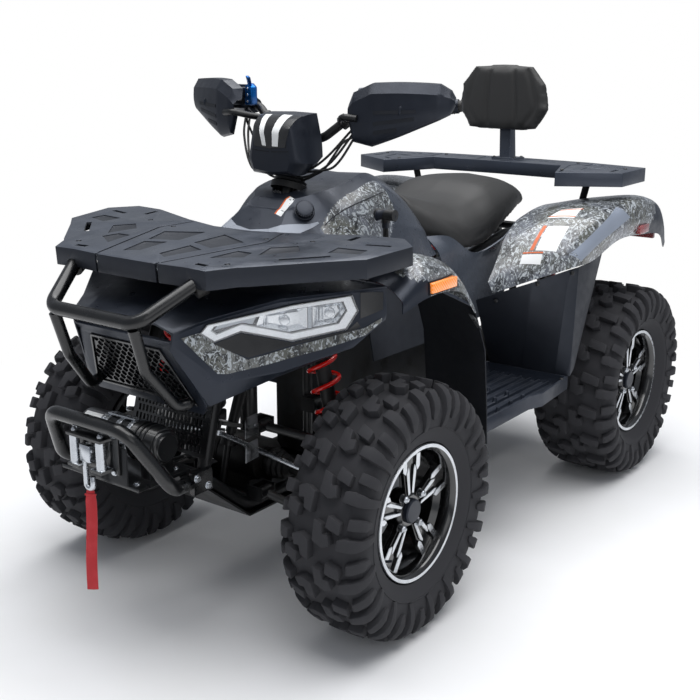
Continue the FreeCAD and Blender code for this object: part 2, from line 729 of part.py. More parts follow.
def coil(low, high):
    direction = (high - low).normalize()
    start = low + direction * 35.3
    length = (high - low).Length - 35.3 - 37.3
    helix = Part.makeHelix(length / 5.0, length, 34)
    ring_wire = Part.makePolygon([vec(34 + dx, 0, dz) for dx, dz in
                                  ((5, 0), (0, 5), (-5, 0), (0, -5), (5, 0))])
    spring = Part.Wire(helix).makePipeShell([ring_wire], True, True)
    spring.Placement = FreeCAD.Placement(start, FreeCAD.Rotation(vec(0, 0, 1), direction))
    return spring


export("shock_dampers", both_sides([damper(front_shock_low, front_shock_high),
                                    damper(rear_shock_low, rear_shock_high)]))
export("shock_springs", both_sides([coil(front_shock_low, front_shock_high),
                                    coil(rear_shock_low, rear_shock_high)]))


# Racks and guards
def tray(outline, top_z, depth, wall=5.0):
    """A moulded deck with a skirt, open underneath."""
    face = Part.Face(Part.makePolygon([vec(x, y, top_z - depth) for x, y in outline + [outline[0]]]))
    inner = face.makeOffset2D(-wall)
    return face.extrude(vec(0, 0, depth)).cut(inner.extrude(vec(0, 0, depth - wall)))


def full_outline(half):
    """A plan outline from its left half, listed from front to rear."""
    return half + [(-x, y) for x, y in half[::-1]]


def slots(sizes, low, high):
    """Upright cutters on both sides, each from (x, y, length, width, turn)."""
    boxes = []
    for x, y, length, width, turn in sizes:
        cut = box((-length / 2, -width / 2, low), (length / 2, width / 2, high))
        cut.rotate(vec(0, 0, 0), vec(0, 0, 1), turn)
        boxes.append(cut.translated(vec(x, y, 0)))
    return both_sides(boxes)


def pockets(outlines, top_z, sink):
    """Shallow cutters on both sides, each from its plan outline."""
    return both_sides([prism([vec(x, y, top_z - sink) for x, y in line], vec(0, 0, sink + 5))
                       for line in outlines])


front_half = [(77, -934), (176, -926), (237, -930), (274, -875), (290, -862), (409, -745),
              (470, -690), (491, -548), (432, -492), (340, -500), (175, -560), (60, -590)]
rack_tilt = 3.7
pocket_depth = 2.5
deck_front = tray(full_outline(front_half), front_deck_z, deck_skirt)
holes = slots([(190, -892, 34, 13, -4), (236, -862, 12, 12, 45), (346, -742, 110, 13, 44),
               (418, -574, 60, 12, 12), (330, -545, 14, 40, 0), (262, -610, 12, 12, 45),
               (150, -640, 12, 12, 45)], front_deck_z - 10, front_deck_z + 10)
seams = pockets([[(96, -920), (102, -921), (178, -662), (150, -575), (143, -577), (171, -662)],
                 [(30, -860), (66, -880), (92, -790), (36, -770)],
                 [(24, -745), (100, -770), (128, -690), (30, -650)],
                 [(160, -840), (226, -800), (214, -760), (172, -760)],
                 [(240, -770), (300, -700), (262, -660), (216, -700)],
                 [(360, -680), (430, -660), (424, -622), (350, -630)]],
                front_deck_z, pocket_depth)
notches = both_sides([box((92, -950, front_deck_z - deck_skirt - 5), (99, -922, front_deck_z + 5))])
deck_front = deck_front.cut(Part.makeCompound(holes)).cut(Part.makeCompound(seams))
deck_front = deck_front.cut(Part.makeCompound(notches))
deck_front.rotate(vec(0, -930, front_deck_z), vec(1, 0, 0), rack_tilt)


def under_deck(x, y):
    """The centre of a tube that lies under the front deck."""
    rise = (y + 930) * math.tan(math.radians(rack_tilt))
    return vec(x, y, front_deck_z + rise - 5 - tube_radius - 3 * seat_gap)


hoop_line = [under_deck(190, -580), under_deck(205, -886), vec(137, -1032, 792)]
hoop_line += [vec(-p.x, p.y, p.z) for p in hoop_line[::-1]]
hoop = tube(hoop_line, tube_radius, 45)
hoop_room = tube(hoop_line, tube_radius + seat_gap, 45)
export("front_rack", deck_front.cut(hoop_room))

ra = rear_axle_y
rear_plan = [(0, ra + 96), (273, ra + 82), (479, ra + 38), (484, ra - 148), (313, ra - 254),
             (237, ra - 58), (0, ra - 50)]
rear_plan += [(-x, y) for x, y in rear_plan[-2:0:-1]]
deck_rear = tray(rear_plan, rear_deck_z, deck_skirt)
holes = slots([(392, ra - 12, 84, 13, -12), (436, ra - 100, 13, 60, 0), (352, ra - 178, 52, 12, 32),
               (150, ra + 20, 60, 12, 0), (250, ra + 40, 12, 12, 45)],
              rear_deck_z - 10, rear_deck_z + 10)
seams = pockets([[(276, ra + 66), (282, ra + 66), (262, ra - 40), (322, ra - 236),
                  (316, ra - 238), (256, ra - 40)],
                 [(300, ra + 40), (350, ra + 34), (330, ra - 20), (296, ra - 30)],
                 [(326, ra - 60), (400, ra - 50), (390, ra - 130), (340, ra - 140)],
                 [(60, ra + 80), (110, ra + 76), (90, ra - 30), (50, ra - 30)]],
                rear_deck_z, pocket_depth)
deck_rear = deck_rear.cut(Part.makeCompound(holes)).cut(Part.makeCompound(seams))
post_foot = box((-45, ra - 5, rear_deck_z - 1), (45, ra + 60, rear_deck_z + 7))
post_top = 265.0
post = prism([vec(-20, ra + 5, rear_deck_z + 3), vec(-20, ra + 45, rear_deck_z + 3),
              vec(-20, ra + 16, rear_deck_z + post_top), vec(-20, ra - 8, rear_deck_z + post_top)],
             vec(40, 0, 0))
export("rear_rack", fused([deck_rear, post_foot, post]))

drops = both_sides([tube([vec(126, -1030, 780), vec(124, -1000, 680), vec(140, -930, 590),
                          vec(150, -905, 592)], 13, 45)])
stay_base = vec(rail_half_spread + tube_radius + 10 + seat_gap, -680, upper_tube_z(-680))
stay_boss = rod(stay_base - vec(0, 0, 12), stay_base + vec(0, 0, 12), 10)
front_stays = both_sides([rod(stay_base, under_deck(196, -700), 10), stay_boss])
brush_guard = fused([hoop] + drops + front_stays)
guard_x = rail_half_spread + 2 * tube_radius + seat_gap
winch_guard = tube([vec(guard_x, -860, 404), vec(guard_x, -915, 405), vec(182, -990, 425),
                    vec(123, -1063, 563), vec(-123, -1063, 563), vec(-182, -990, 425),
                    vec(-guard_x, -915, 405), vec(-guard_x, -860, 404)], tube_radius, 45)
guard_plates = both_sides([box((guard_x + 8, -912, 381), (guard_x + 22, -854, 431))])
export("brush_guard", [brush_guard, fused([winch_guard] + guard_plates)])

plate_z = 405 + tube_radius + seat_gap
drum_z, drum_radius, drum_half = 500.0, 42.0, 120.0
roller_x, roller_radius = 42.0, 11.0
tray_front_y = drum_y - 85
band_radius = drum_radius + 3
drum_bands = [ring(vec(x, drum_y, drum_z), (1, 0, 0), band_radius, drum_radius - 4, 8)
              for x in (-52, 2, 40)]
drum_caps = both_sides([rod(vec(drum_half - 2, drum_y, drum_z), vec(drum_half + 12, drum_y, drum_z),
                            drum_radius - 12)])
winch = fused([rod(vec(-drum_half, drum_y, drum_z), vec(drum_half, drum_y, drum_z), drum_radius),
               box((-126, tray_front_y, plate_z), (126, drum_y + 70, plate_z + 8)),
               box((-90, tray_front_y, plate_z), (90, tray_front_y + 6, 512)),
               box((-110, drum_y - 35, plate_z + 4), (-80, drum_y + 35, drum_z)),
               box((80, drum_y - 35, plate_z + 4), (110, drum_y + 35, drum_z))]
              + drum_bands + drum_caps)
winch = winch.cut(box((-35, tray_front_y - 5, 486), (35, tray_front_y + 10, 530)))
fairlead_y = tray_front_y - seat_gap
fairlead_plate = box((-75, fairlead_y - 6, 450), (75, fairlead_y, 545)).cut(
    box((-35, fairlead_y - 10, 486), (35, fairlead_y + 10, 516)))
rollers = both_sides([rod(vec(roller_x, roller_y, 462), vec(roller_x, roller_y, 528), roller_radius),
                      box((18, roller_y - 13, 456), (56, fairlead_y, 463))])
top_bridge = box((-56, roller_y - 13, 527), (56, fairlead_y, 534))
export("winch", [winch, fused([fairlead_plate, top_bridge] + rollers)])
hook_half = 11.0
rope = rod(vec(0, drum_y - band_radius - seat_gap, drum_z), vec(0, roller_y, drum_z), 4)
hook = tube([vec(-hook_half, roller_y, 480), vec(-hook_half, roller_y, hook_z),
             vec(hook_half, roller_y, hook_z), vec(hook_half, roller_y, 440)], 6, hook_half - 0.1)
clevis = box((-18, roller_y - 8, 474), (14, roller_y + 8, 512))
export("winch_hook", fused([rope, hook, clevis]))
export("hook_strap", box((-10, roller_y - 1.5, 160), (10, roller_y + 1.5, hook_z - 6 - seat_gap)))

# Bodywork
def cheek_y(x):
    """The plan line of the nose's side, at one X."""
    return -880.0 + (x - 205.0) / 0.77


nose_stations = [
    (-955, [(150, 722), (154, 730), (157, 738), (159, 746), (160, 754), (163, 762), (110, 776), (0, 778)]),
    (-888, [(196, 590), (207, 640), (208, 662), (200, 738), (192, 776), (200, 786), (130, 800), (0, 802)]),
    (-766, [(286, 644), (303, 660), (300, 684), (294, 732), (291, 812), (301, 822), (180, 824), (0, 826)]),
    (-640, [(372, 690), (398, 702), (397, 716), (392, 744), (391, 824), (400, 832), (240, 836), (0, 840)]),
    (-575, [(424, 748), (440, 760), (442, 768), (443, 776), (438, 828), (446, 836), (260, 842), (0, 846)])]
lamp_outline = [(188, 755), (206, 734), (242, 753), (310, 725), (386, 744), (402, 784), (393, 820),
                (311, 806), (198, 774)]
lamp_out = vec(0.61, -0.79, 0)
lamp_face = [vec(x, cheek_y(x), z) for x, z in lamp_outline]
lamp = prism([p - lamp_out * 20 for p in lamp_face], lamp_out * 25)
lamp_wire = Part.Face(Part.makePolygon([p - lamp_out * 30 for p in lamp_face + [lamp_face[0]]]))
lamp_room = lamp_wire.makeOffset2D(seat_gap).extrude(lamp_out * 60)
stay_holes = both_sides([rod(stay_base, under_deck(196, -700), 10 + seat_gap)])
nose_shell = panel([(y, half + [(-x, z) for x, z in half[-2::-1]]) for y, half in nose_stations])
grille_outline = [vec(-112, 0, 0), vec(112, 0, 0), vec(165, 0, -145), vec(-165, 0, -145)]
grille_tilt = 23.0


def on_grille_plane(shape):
    shape.rotate(vec(0, 0, 0), vec(1, 0, 0), grille_tilt)
    return shape.translated(vec(0, -947, 719))


surround = prism([vec(-152, 0, 22), vec(152, 0, 22), vec(192, 0, -140), vec(170, 0, -168),
                  vec(-170, 0, -168), vec(-192, 0, -140)], vec(0, 10, 0))
grille_face = Part.Face(Part.makePolygon(grille_outline + [grille_outline[0]]))
surround = on_grille_plane(surround.cut(grille_face.makeOffset2D(seat_gap).extrude(vec(0, 10, 0))))
nose_body = fused([nose_shell, surround])
for cutter in stay_holes + both_sides([lamp_room]):
    nose_body = nose_body.cut(cutter)
export("nose", nose_body)
export("headlamps", both_sides([lamp]))


def honeycomb(outline, cell, web, low, high):
    """Hexagonal cutters that fill a sloping-sided panel between two heights."""
    cutters = []
    row_step = (cell + web) * 0.62
    rows = int((high - low) / row_step)
    half_top, half_low = outline
    for row in range(rows):
        z = high - row_step * (row + 0.7)
        reach = half_low + (half_top - half_low) * (z - low) / (high - low) - cell * 0.75
        shift = (cell + web) / 2 if row % 2 else 0.0
        count = int((reach - shift) / (cell + web))
        for i in range(-count - (1 if shift else 0), count + 1):
            x = i * (cell + web) + shift
            cutters.append(prism([vec(x + cell / 2 * a, -3, z + cell * 0.52 * b) for a, b in (
                (-1, -0.35), (0, -0.95), (1, -0.35), (1, 0.35), (0, 0.95), (-1, 0.35))],
                vec(0, 12, 0)))
    return cutters


mesh_plate = prism(grille_outline, vec(0, 5, 0)).cut(
    Part.makeCompound(honeycomb((112, 165), 17.0, 3.2, -141, -4)))
screen_low, screen_high = 436.0, 600.0
screen_gap = tube_radius + seat_gap


def upper_front_y(z):
    """The front of the upper tubes where they drop to the nose, at one height."""
    return -740 - 90 * (720 - z) / 330 - screen_gap * math.hypot(330, 90) / 330


screen = prism([vec(-124, upper_front_y(screen_low), screen_low),
                vec(-124, upper_front_y(screen_high), screen_high),
                vec(-124, upper_front_y(screen_high) - 4, screen_high),
                vec(-124, upper_front_y(screen_low) - 4, screen_low)], vec(248, 0, 0))
slits = [box((x - 3.5, -860, z), (x + 3.5, -780, z + 15))
         for row, z in enumerate(range(444, 580, 20))
         for x in range(-110 + 6 * (row % 2), 112, 12)]
export("grille", [on_grille_plane(mesh_plate), screen.cut(Part.makeCompound(slits))])

fender_stations = [
    (-574.7, [(486, 778), (482, 806), (430, 838), (340, 843)]),
    (-520, [(500, 800), (492, 844), (442, 872), (340, 870)]),
    (-470, [(503, 806), (494, 852), (446, 887), (332, 886)]),
    (-420, [(502, 804), (491, 850), (446, 880), (328, 878)]),
    (-370, [(500, 796), (488, 834), (444, 864), (320, 862)]),
    (-325, [(496, 778), (484, 808), (442, 838), (314, 842)]),
    (-262, [(490, 722), (482, 738), (438, 758), (306, 786)])]
front_fender = panel(fender_stations)
export("front_fenders", both_sides([front_fender]))


def flap_section(y, z_in, z_out):
    loop = [vec(300, y, z_in), vec(484, y, z_out), vec(484, y + 4, z_out), vec(300, y + 4, z_in)]
    return Part.makePolygon(loop + [loop[0]])


flap_foot = footwell_front_y - 4 - seat_gap
flap = Part.makeLoft([flap_section(-261.7, 784, 733), flap_section(-202, 640, 614),
                      flap_section(flap_foot - 7, 470, 450), flap_section(flap_foot, 390, 355)],
                     True, True)
export("mud_flaps", both_sides([flap]))
marker = box((488, -492, 812), (510, -388, 836)).cut(front_fender)
side_marker = max(marker.Solids, key=lambda s: s.CenterOfMass.x)

tank_top_z = bar_clamp_z - tank_drop
tank_rows = [
    (-560, [(0, 84), (100, 80), (140, 68), (156, 56), (150, 46), (0, 46)]),
    (-442, [(0, 185), (60, 185), (129, 116), (170, 80), (190, 50), (0, 50)]),
    (-393, [(0, 203), (96, 197), (140, 150), (180, 90), (205, 20), (0, 20)]),
    (-300, [(0, 212), (110, 208), (155, 165), (190, 100), (212, 15), (0, 10)]),
    (-184, [(0, 222), (92, 226), (150, 185), (190, 100), (212, 2), (0, 0)]),
    (-100, [(0, 200), (88, 200), (150, 155), (192, 80), (212, 0), (0, -4)]),
    (-20, [(0, 165), (80, 160), (130, 120), (180, 60), (205, -8), (0, -8)]),
    (29.7, [(0, 130), (70, 125), (110, 90), (150, 40), (190, -10), (0, -10)])]
tank_scale = (tank_top_z - tank_base_z) / 200.0
tank = hull_loft([(y, symmetric([(x, tank_base_z + z * tank_scale) for x, z in half]))
                  for y, half in tank_rows])
tank = tank.cut(rod(column_point(600), column_point(1100), column_hole_radius))
tank_feet = both_sides([tube_foot(-220, tank_base_z + 20)])
tank = fused([tank] + tank_feet)
export("tank_cover", tank)

seat_rear = (ra - 60 - 30.0) / 650.0
seat_rows = [
    (0, [(0, 962), (60, 958), (95, 935), (112, 895), (108, 850), (0, 845)]),
    (70, [(0, 936), (90, 930), (145, 900), (168, 850), (160, 795), (0, 800)]),
    (170, [(0, 916), (110, 908), (175, 880), (205, 830), (196, 775), (0, 780)]),
    (270, [(0, 926), (120, 918), (180, 890), (207, 840), (198, 775), (0, 780)]),
    (370, [(0, 960), (125, 950), (178, 920), (205, 872), (196, 800), (0, 800)]),
    (520, [(0, 964), (120, 952), (165, 925), (186, 885), (176, 840), (0, 840)]),
    (650, [(0, 934), (90, 930), (135, 908), (150, 880), (140, 860), (0, 858)])]
seat_stations = [(30.3 + y * seat_rear, symmetric(half)) for y, half in seat_rows]
seat_feet = both_sides([tube_foot(300, 830)])
export("seat", fused([hull_loft(seat_stations)] + seat_feet))

front_side = [
    (-300, [(215, 560), (200, 640), (190, 780)]),
    (30.9, [(222, 560), (212, 640), (202, 784)])]
rear_side = [
    (30.9, [(222, 560), (212, 640), (202, 784), (152, 836)]),
    (100, [(225, 560), (215, 640), (205, 780), (185, 830)]),
    (200, [(230, 580), (221, 660), (216, 750), (214, 772)]),
    (footwell_rear_y, [(235, 600), (228, 690), (226, 770), (248, 803)]),
    (footwell_rear_y + 106, [(232, 690), (228, 770), (228, 820), (240, 843)]),
    (footwell_rear_y + 255, [(228, 790), (226, 825), (226, 848), (233, 864)])]
side_pegs = [rod(vec(rail_half_spread + tube_radius + seat_gap, y, z), vec(208, y, z), 8)
             for y, z in ((-280, 701), (120, 690))]
export("side_panels", both_sides([fused([panel(front_side), panel(rear_side)] + side_pegs)]))

fr = footwell_rear_y
rear_fender_stations = [
    (fr - 110, [(282, 662), (279, 670), (275, 678), (270, 686), (265, 694)]),
    (fr - 70, [(382, 706), (368, 722), (340, 733), (300, 739), (264, 738)]),
    (fr, [(478, 744), (470, 776), (430, 810), (350, 822), (258, 812)]),
    (fr + 106, [(486, 748), (496, 808), (474, 860), (370, 876), (248, 852)]),
    (fr + 260, [(498, 790), (508, 838), (490, 890), (370, 897), (240, 872)]),
    (ra, [(500, 784), (510, 838), (488, 898), (370, 892), (240, 862)]),
    (ra + 160, [(494, 762), (500, 806), (478, 856), (360, 868), (236, 852)]),
    (ra + 330, [(448, 692), (450, 715), (430, 745), (330, 765), (216, 770)])]
left_fender = panel(rear_fender_stations).cut(tube(stay_line, 11.5, 30))
export("rear_fenders", both_sides([left_fender]))

floor = [(210, footwell_front_y), (480, footwell_front_y), (480, 60), (496, 110),
         (480, footwell_rear_y), (210, footwell_rear_y)]
floor_face = Part.Face(Part.makePolygon([vec(x, y, footwell_z) for x, y in floor + [floor[0]]]))
floor_room = floor_face.makeOffset2D(-7.0).extrude(vec(0, 0, footwell_height))
tray_body = floor_face.extrude(vec(0, 0, footwell_height)).cut(floor_room.translated(vec(0, 0, 7)))
ribs = [box((x, footwell_front_y + 3, footwell_z + 3), (x + 6, footwell_rear_y - 3, footwell_z + 15))
        for x in range(240, 460, 30)]
foot_pegs = [Part.makeCone(9, 5, 22, vec(x, y, footwell_z + 5), vec(0, 0, 1))
             for x in (270, 330, 390, 440) for y in (-110, -40, 30, 100)]
export("footwells", both_sides([fused([tray_body] + ribs + foot_pegs)]))
foot_top = footwell_z + footwell_height + seat_gap
leg_walls = [
    ((222, fr - 5, foot_top), (238, fr - 128, 640), (0, 4)),
    ((330, fr - 5, foot_top), (384, fr - 66, 700), (0, 4)),
    ((440, fr - 5, foot_top), (468, fr - 6, 737), (-1.5, 3.7)),
    ((484, fr + 4, foot_top), (480, fr + 30, 740), (-3.5, 2)),
    ((484, fr + 18, foot_top + 10), (482, fr + 106, 743), (-4, 0)),
    ((484, fr + 30, foot_top + 20), (482, fr + 182, 762), (-4, 0))]
leg_wires = []
for low, high, (nx, ny) in leg_walls:
    loop = [vec(*low), vec(*high), vec(*high) + vec(nx, ny, 0), vec(*low) + vec(nx, ny, 0)]
    leg_wires.append(Part.makePolygon(loop + [loop[0]]))
export("leg_guards", both_sides([Part.makeLoft(leg_wires, True, True)]))
pad_z = rear_deck_z + 190
export("backrest_pad", hull_loft([(ra + y, symmetric([(x, pad_z + z) for x, z in half]))
                                  for y, half in (
    (-40, [(0, 119), (102, 115), (150, 58), (164, -22), (120, -89), (0, -93)]),
    (-22, [(0, 124), (110, 120), (160, 60), (174, -22), (128, -94), (0, -98)]),
    (4, [(0, 116), (98, 112), (146, 56), (160, -22), (118, -86), (0, -90)]))]).cut(post))
tail_lamp = box((340, ra + 300, 722), (420, ra + 316, 775)).cut(left_fender)
tail_lamp = max(tail_lamp.Solids, key=lambda s: -s.CenterOfMass.z)
side_reflector = box((496, ra - 60, 792), (516, ra + 10, 818)).cut(left_fender)
side_reflector = max(side_reflector.Solids, key=lambda s: s.CenterOfMass.x)
export("marker_lamps", both_sides([side_marker, tail_lamp, side_reflector]))
muffler_x, muffler_z = -212.0, 645.0
pipe_reach = ra - engine_rear_y
muffler = rod(vec(muffler_x, ra + 5, muffler_z), vec(muffler_x, ra + 270, muffler_z + 15), 52)
tail_pipe = rod(vec(muffler_x, ra + 260, muffler_z + 15), vec(muffler_x, ra + 305, muffler_z + 8), 20)
hanger = box((-165, rail_rear_y - 10, 640), (-rail_half_spread - tube_radius - 1, rail_rear_y + 8, 666))
pipe = tube([vec(muffler_x, ra + 60, muffler_z), vec(-206, ra + 10, 642), vec(-150, ra - 22, 622),
             vec(-148, engine_rear_y + 0.76 * pipe_reach, 540),
             vec(-146, engine_rear_y + 0.41 * pipe_reach, 480),
             vec(-60, engine_rear_y + 0.2 * pipe_reach, 470),
             vec(-60, engine_rear_y + seat_gap, 470)], 16, 60)
export("muffler", fused([muffler, tail_pipe, hanger, pipe]))
lever_top = vec(240, -292, 936)
lever = fused([rod(vec(200, -262, 838), vec(222, -264, 838), 9),
               rod(vec(222, -264, 836), lever_top, 7),
               rod(lever_top - vec(0, 0, 14), lever_top, 11),
               rod(lever_top - vec(28, 0, -6), lever_top + vec(28, 0, 6), 14)])
export("gear_lever", lever.cut(tank))
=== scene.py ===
import logging
from collections.abc import Callable, Iterable, Sequence
from dataclasses import dataclass
from enum import Enum
from math import cos, exp, hypot, pi, radians, sin, tan, tau

import bmesh
import bpy
from mathutils import Matrix, Vector
from mathutils.bvhtree import BVHTree


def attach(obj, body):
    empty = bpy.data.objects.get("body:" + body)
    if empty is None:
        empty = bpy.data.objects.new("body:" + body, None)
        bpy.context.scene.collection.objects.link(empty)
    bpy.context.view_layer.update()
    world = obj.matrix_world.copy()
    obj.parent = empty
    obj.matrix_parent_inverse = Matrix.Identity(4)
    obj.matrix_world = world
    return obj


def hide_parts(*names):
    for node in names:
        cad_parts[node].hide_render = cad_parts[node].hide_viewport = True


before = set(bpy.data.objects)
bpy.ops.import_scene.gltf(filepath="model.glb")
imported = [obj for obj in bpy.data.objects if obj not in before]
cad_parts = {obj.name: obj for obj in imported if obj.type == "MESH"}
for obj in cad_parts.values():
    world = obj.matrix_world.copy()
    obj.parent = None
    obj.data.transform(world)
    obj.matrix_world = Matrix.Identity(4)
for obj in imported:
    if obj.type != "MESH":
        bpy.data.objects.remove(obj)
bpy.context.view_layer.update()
CLAMP = Vector((0, -0.33, 1.12))
LOG = logging.getLogger("quad_bike")
Colour = tuple[float, float, float, float]
Pair = tuple[float, float]
Point = tuple[float, float, float]
Rows = Sequence[Sequence[Vector]]
Slot = int | Callable[[Vector], int]
Socket = bpy.types.NodeSocket
Vert = bmesh.types.BMVert
Verts = Sequence[Vert]


def mm(*sizes: float | tuple) -> tuple:
    """Turns sizes in millimetres into metres, whatever the tuples that hold them."""
    return tuple(mm(*size) if isinstance(size, tuple) else size / 1000 for size in sizes)


def shade(code: str) -> Colour:
    """Turns a colour code into the linear colour that a shader takes.

    Args:
        code: Red, green and blue as hexadecimal pairs.

    Returns:
        The linear colour with full opacity.
    """
    parts = [int(code[i:i + 2], 16) / 255 for i in (0, 2, 4)]
    linear = [p / 12.92 if p <= 0.04045 else ((p + 0.055) / 1.055) ** 2.4 for p in parts]
    return (linear[0], linear[1], linear[2], 1)


def mixed(a: float, b: float, share: float) -> float:
    """The value a share of the way from a to b."""
    return a + (b - a) * share


class Graph:
    """A node graph: a material's, ending in a Principled shader, or the world's."""

    def __init__(self, name: str = "", tree: bpy.types.NodeTree | None = None) -> None:
        """Starts a material's graph in object coordinates, or takes a tree that is there.

        Args:
            name: The material's name.
            tree: The tree to take instead.
        """
        self.tree = tree
        if tree is None:
            self.material = bpy.data.materials.new(name)
            self.material.use_nodes = True
            self.tree = self.material.node_tree
            self.tree.nodes.clear()
            self.surface = self.node("BsdfPrincipled")
            self.output = self.node("OutputMaterial", {"Surface": self.surface.outputs[0]})
            self.place = self.node("TexCoord").outputs["Object"]

    def seen(self) -> Socket:
        """One where a ray comes from the camera or through glass, otherwise zero."""
        rays = self.node("LightPath").outputs
        return self.math("MAXIMUM", rays["Is Camera Ray"], rays["Is Transmission Ray"])

    def node(self, kind: str, inputs: dict | None = None, **options: object) -> bpy.types.Node:
        """Adds one shader node.

        Args:
            kind: The node's type without its ShaderNode prefix.
            inputs: Values, colour codes or sockets, by the input's name or number.
            options: The node's own properties.

        Returns:
            The new node.
        """
        node = self.tree.nodes.new("ShaderNode" + kind)
        for key, value in options.items():
            setattr(node, key, value)
        for key, value in (inputs or {}).items():
            self.give(node.inputs[key], value)
        return node

    def give(self, socket: Socket, value: object) -> None:
        """Links a socket, or sets it to a number or to the colour of a code."""
        if isinstance(value, Socket):
            self.tree.links.new(value, socket)
        else:
            socket.default_value = shade(value) if isinstance(value, str) else value

    def stretched(self, scale: Point, turn: Point = (0.0, 0.0, 0.0)) -> Socket:
        """The object's coordinates, stretched and turned for a pattern with a grain."""
        return self.node(
            "Mapping", {"Vector": self.place, "Scale": scale, "Rotation": turn}).outputs[0]

    def noise(
            self, scale: float, detail: float = 3.0, warp: float = 0.0,
            place: Socket | None = None) -> Socket:
        """A cloudy pattern with that many features to the metre, as a factor."""
        return self.node(
            "TexNoise", {"Vector": place or self.place, "Scale": scale, "Detail": detail,
            "Distortion": warp}).outputs[0]

    def cells(self, scale: float, feature: str = "F1", place: Socket | None = None) -> Socket:
        """The distance to the nearest cell centre or edge, as a factor."""
        return self.node(
            "TexVoronoi", {"Vector": place or self.place, "Scale": scale},
            feature=feature).outputs["Distance"]

    def band(
            self, factor: Socket, low: float, high: float, to_low: float = 0.0,
            to_high: float = 1.0) -> Socket:
        """Stretches the part of a factor between low and high over a new range."""
        return self.node(
            "MapRange", {"Value": factor, "From Min": low, "From Max": high, "To Min": to_low,
            "To Max": to_high}).outputs[0]

    def math(self, operation: str, a: object, b: object = 0.5) -> Socket:
        """The result of one sum on two factors."""
        return self.node("Math", {0: a, 1: b}, operation=operation).outputs[0]

    def blend(self, factor: object, a: object, b: object) -> Socket:
        """The colour between a and b that the factor picks."""
        return self.node("Mix", {0: factor, 6: a, 7: b}, data_type="RGBA").outputs[2]

    def bump(
            self, height: Socket, depth: float, strength: float = 1.0,
            under: Socket | None = None) -> Socket:
        """A bump of that depth in metres, on top of another where one is given."""
        inputs = {"Height": height, "Distance": depth, "Strength": strength}
        if under is not None:
            inputs["Normal"] = under
        return self.node("Bump", inputs).outputs[0]

    def facing_up(self) -> Socket:
        """How far the surface faces the sky, as a factor."""
        normal = self.node("NewGeometry").outputs["Normal"]
        height = self.node("SeparateXYZ", {0: normal}).outputs["Z"]
        return self.band(height, 0.25, 1)

    def set(self, **values: object) -> None:
        """Gives the shader's sockets their values or links; underscores stand for spaces."""
        for key, value in values.items():
            self.give(self.surface.inputs[key.replace("_", " ")], value)


@dataclass(frozen=True)
class Finish:
    """What every finish has: a name, a main colour and how dull it is."""

    name: str
    colour: str
    roughness: float = 0.5

    def paint(self, graph: Graph) -> None:
        """Sets the shader up; each kind of finish adds its own patterns."""
        graph.set(Base_Color=self.colour, Roughness=self.roughness)

    def material(self) -> bpy.types.Material:
        """The finish's material, built the first time that it is asked for."""
        made = bpy.data.materials.get(self.name)
        if made is None:
            graph = Graph(self.name)
            self.paint(graph)
            made = graph.material
        return made


@dataclass(frozen=True)
class Moulded(Finish):
    """Grained moulded plastic with a faint bloom and dust where it faces the sky."""

    tint: str = "3a3f46"
    grain: float = 850.0
    grain_depth: float = 0.00012
    dust: float = 0.1
    specular: float = 0.5

    def paint(self, graph: Graph) -> None:
        """Mixes two close tones, adds dust on top faces and a fine moulded grain.

        Args:
            graph: The material's graph.
        """
        cloud = graph.band(graph.noise(7, 3, 0.4), 0.3, 0.74)
        body = graph.blend(cloud, self.colour, self.tint)
        settled = graph.math(
            "MULTIPLY", graph.facing_up(), graph.band(graph.noise(15, 5), 0.3, 0.8, 0, self.dust))
        graph.set(
            Base_Color=graph.blend(settled, body, "8d9097"),
            Roughness=graph.band(graph.noise(38, 3), 0.3, 0.7, self.roughness - 0.06,
            self.roughness + 0.07), Specular_IOR_Level=self.specular, Specular_Tint="e3eafa")
        grain = graph.bump(graph.cells(self.grain, "SMOOTH_F1"), self.grain_depth, 0.6)
        graph.set(Normal=graph.bump(graph.noise(11, 2), 0.0008, 0.25, grain))


@dataclass(frozen=True)
class Powder(Finish):
    """Powder-coated or enamelled metal with a slight orange peel."""

    metallic: float = 0.0
    peel: float = 240.0
    peel_depth: float = 0.00015
    coat: float = 0.25
    scuff: str = "4b4c4e"

    def paint(self, graph: Graph) -> None:
        """Lays an even coat with orange peel, and thin scuffs that catch the light.

        Args:
            graph: The material's graph.
        """
        scuffs = graph.band(graph.noise(60, 8, 1.2), 0.66, 0.74, 0, 0.35)
        graph.set(
            Base_Color=graph.blend(scuffs, self.colour, self.scuff), Metallic=self.metallic,
            Coat_Weight=self.coat, Coat_Roughness=0.15, Roughness=graph.band(graph.noise(28, 3),
            0.3, 0.7, self.roughness - 0.05, self.roughness + 0.09),
            Normal=graph.bump(graph.noise(self.peel, 2), self.peel_depth, 0.5))


@dataclass(frozen=True)
class Cast(Finish):
    """Sand-cast or forged metal with pits and an uneven, slightly oily skin."""

    metallic: float = 0.85
    oil: str = "1c1b1a"

    def paint(self, graph: Graph) -> None:
        """Mixes bare and oily patches over a pitted skin.

        Args:
            graph: The material's graph.
        """
        patches = graph.band(graph.noise(19, 7, 0.8), 0.45, 0.62)
        graph.set(
            Base_Color=graph.blend(patches, self.colour, self.oil), Metallic=self.metallic,
            Roughness=graph.band(patches, 0, 1, self.roughness + 0.1, self.roughness - 0.12))
        pits = graph.bump(graph.noise(420, 3), 0.0004, 0.7)
        graph.set(Normal=graph.bump(graph.cells(130), 0.0005, 0.3, pits))


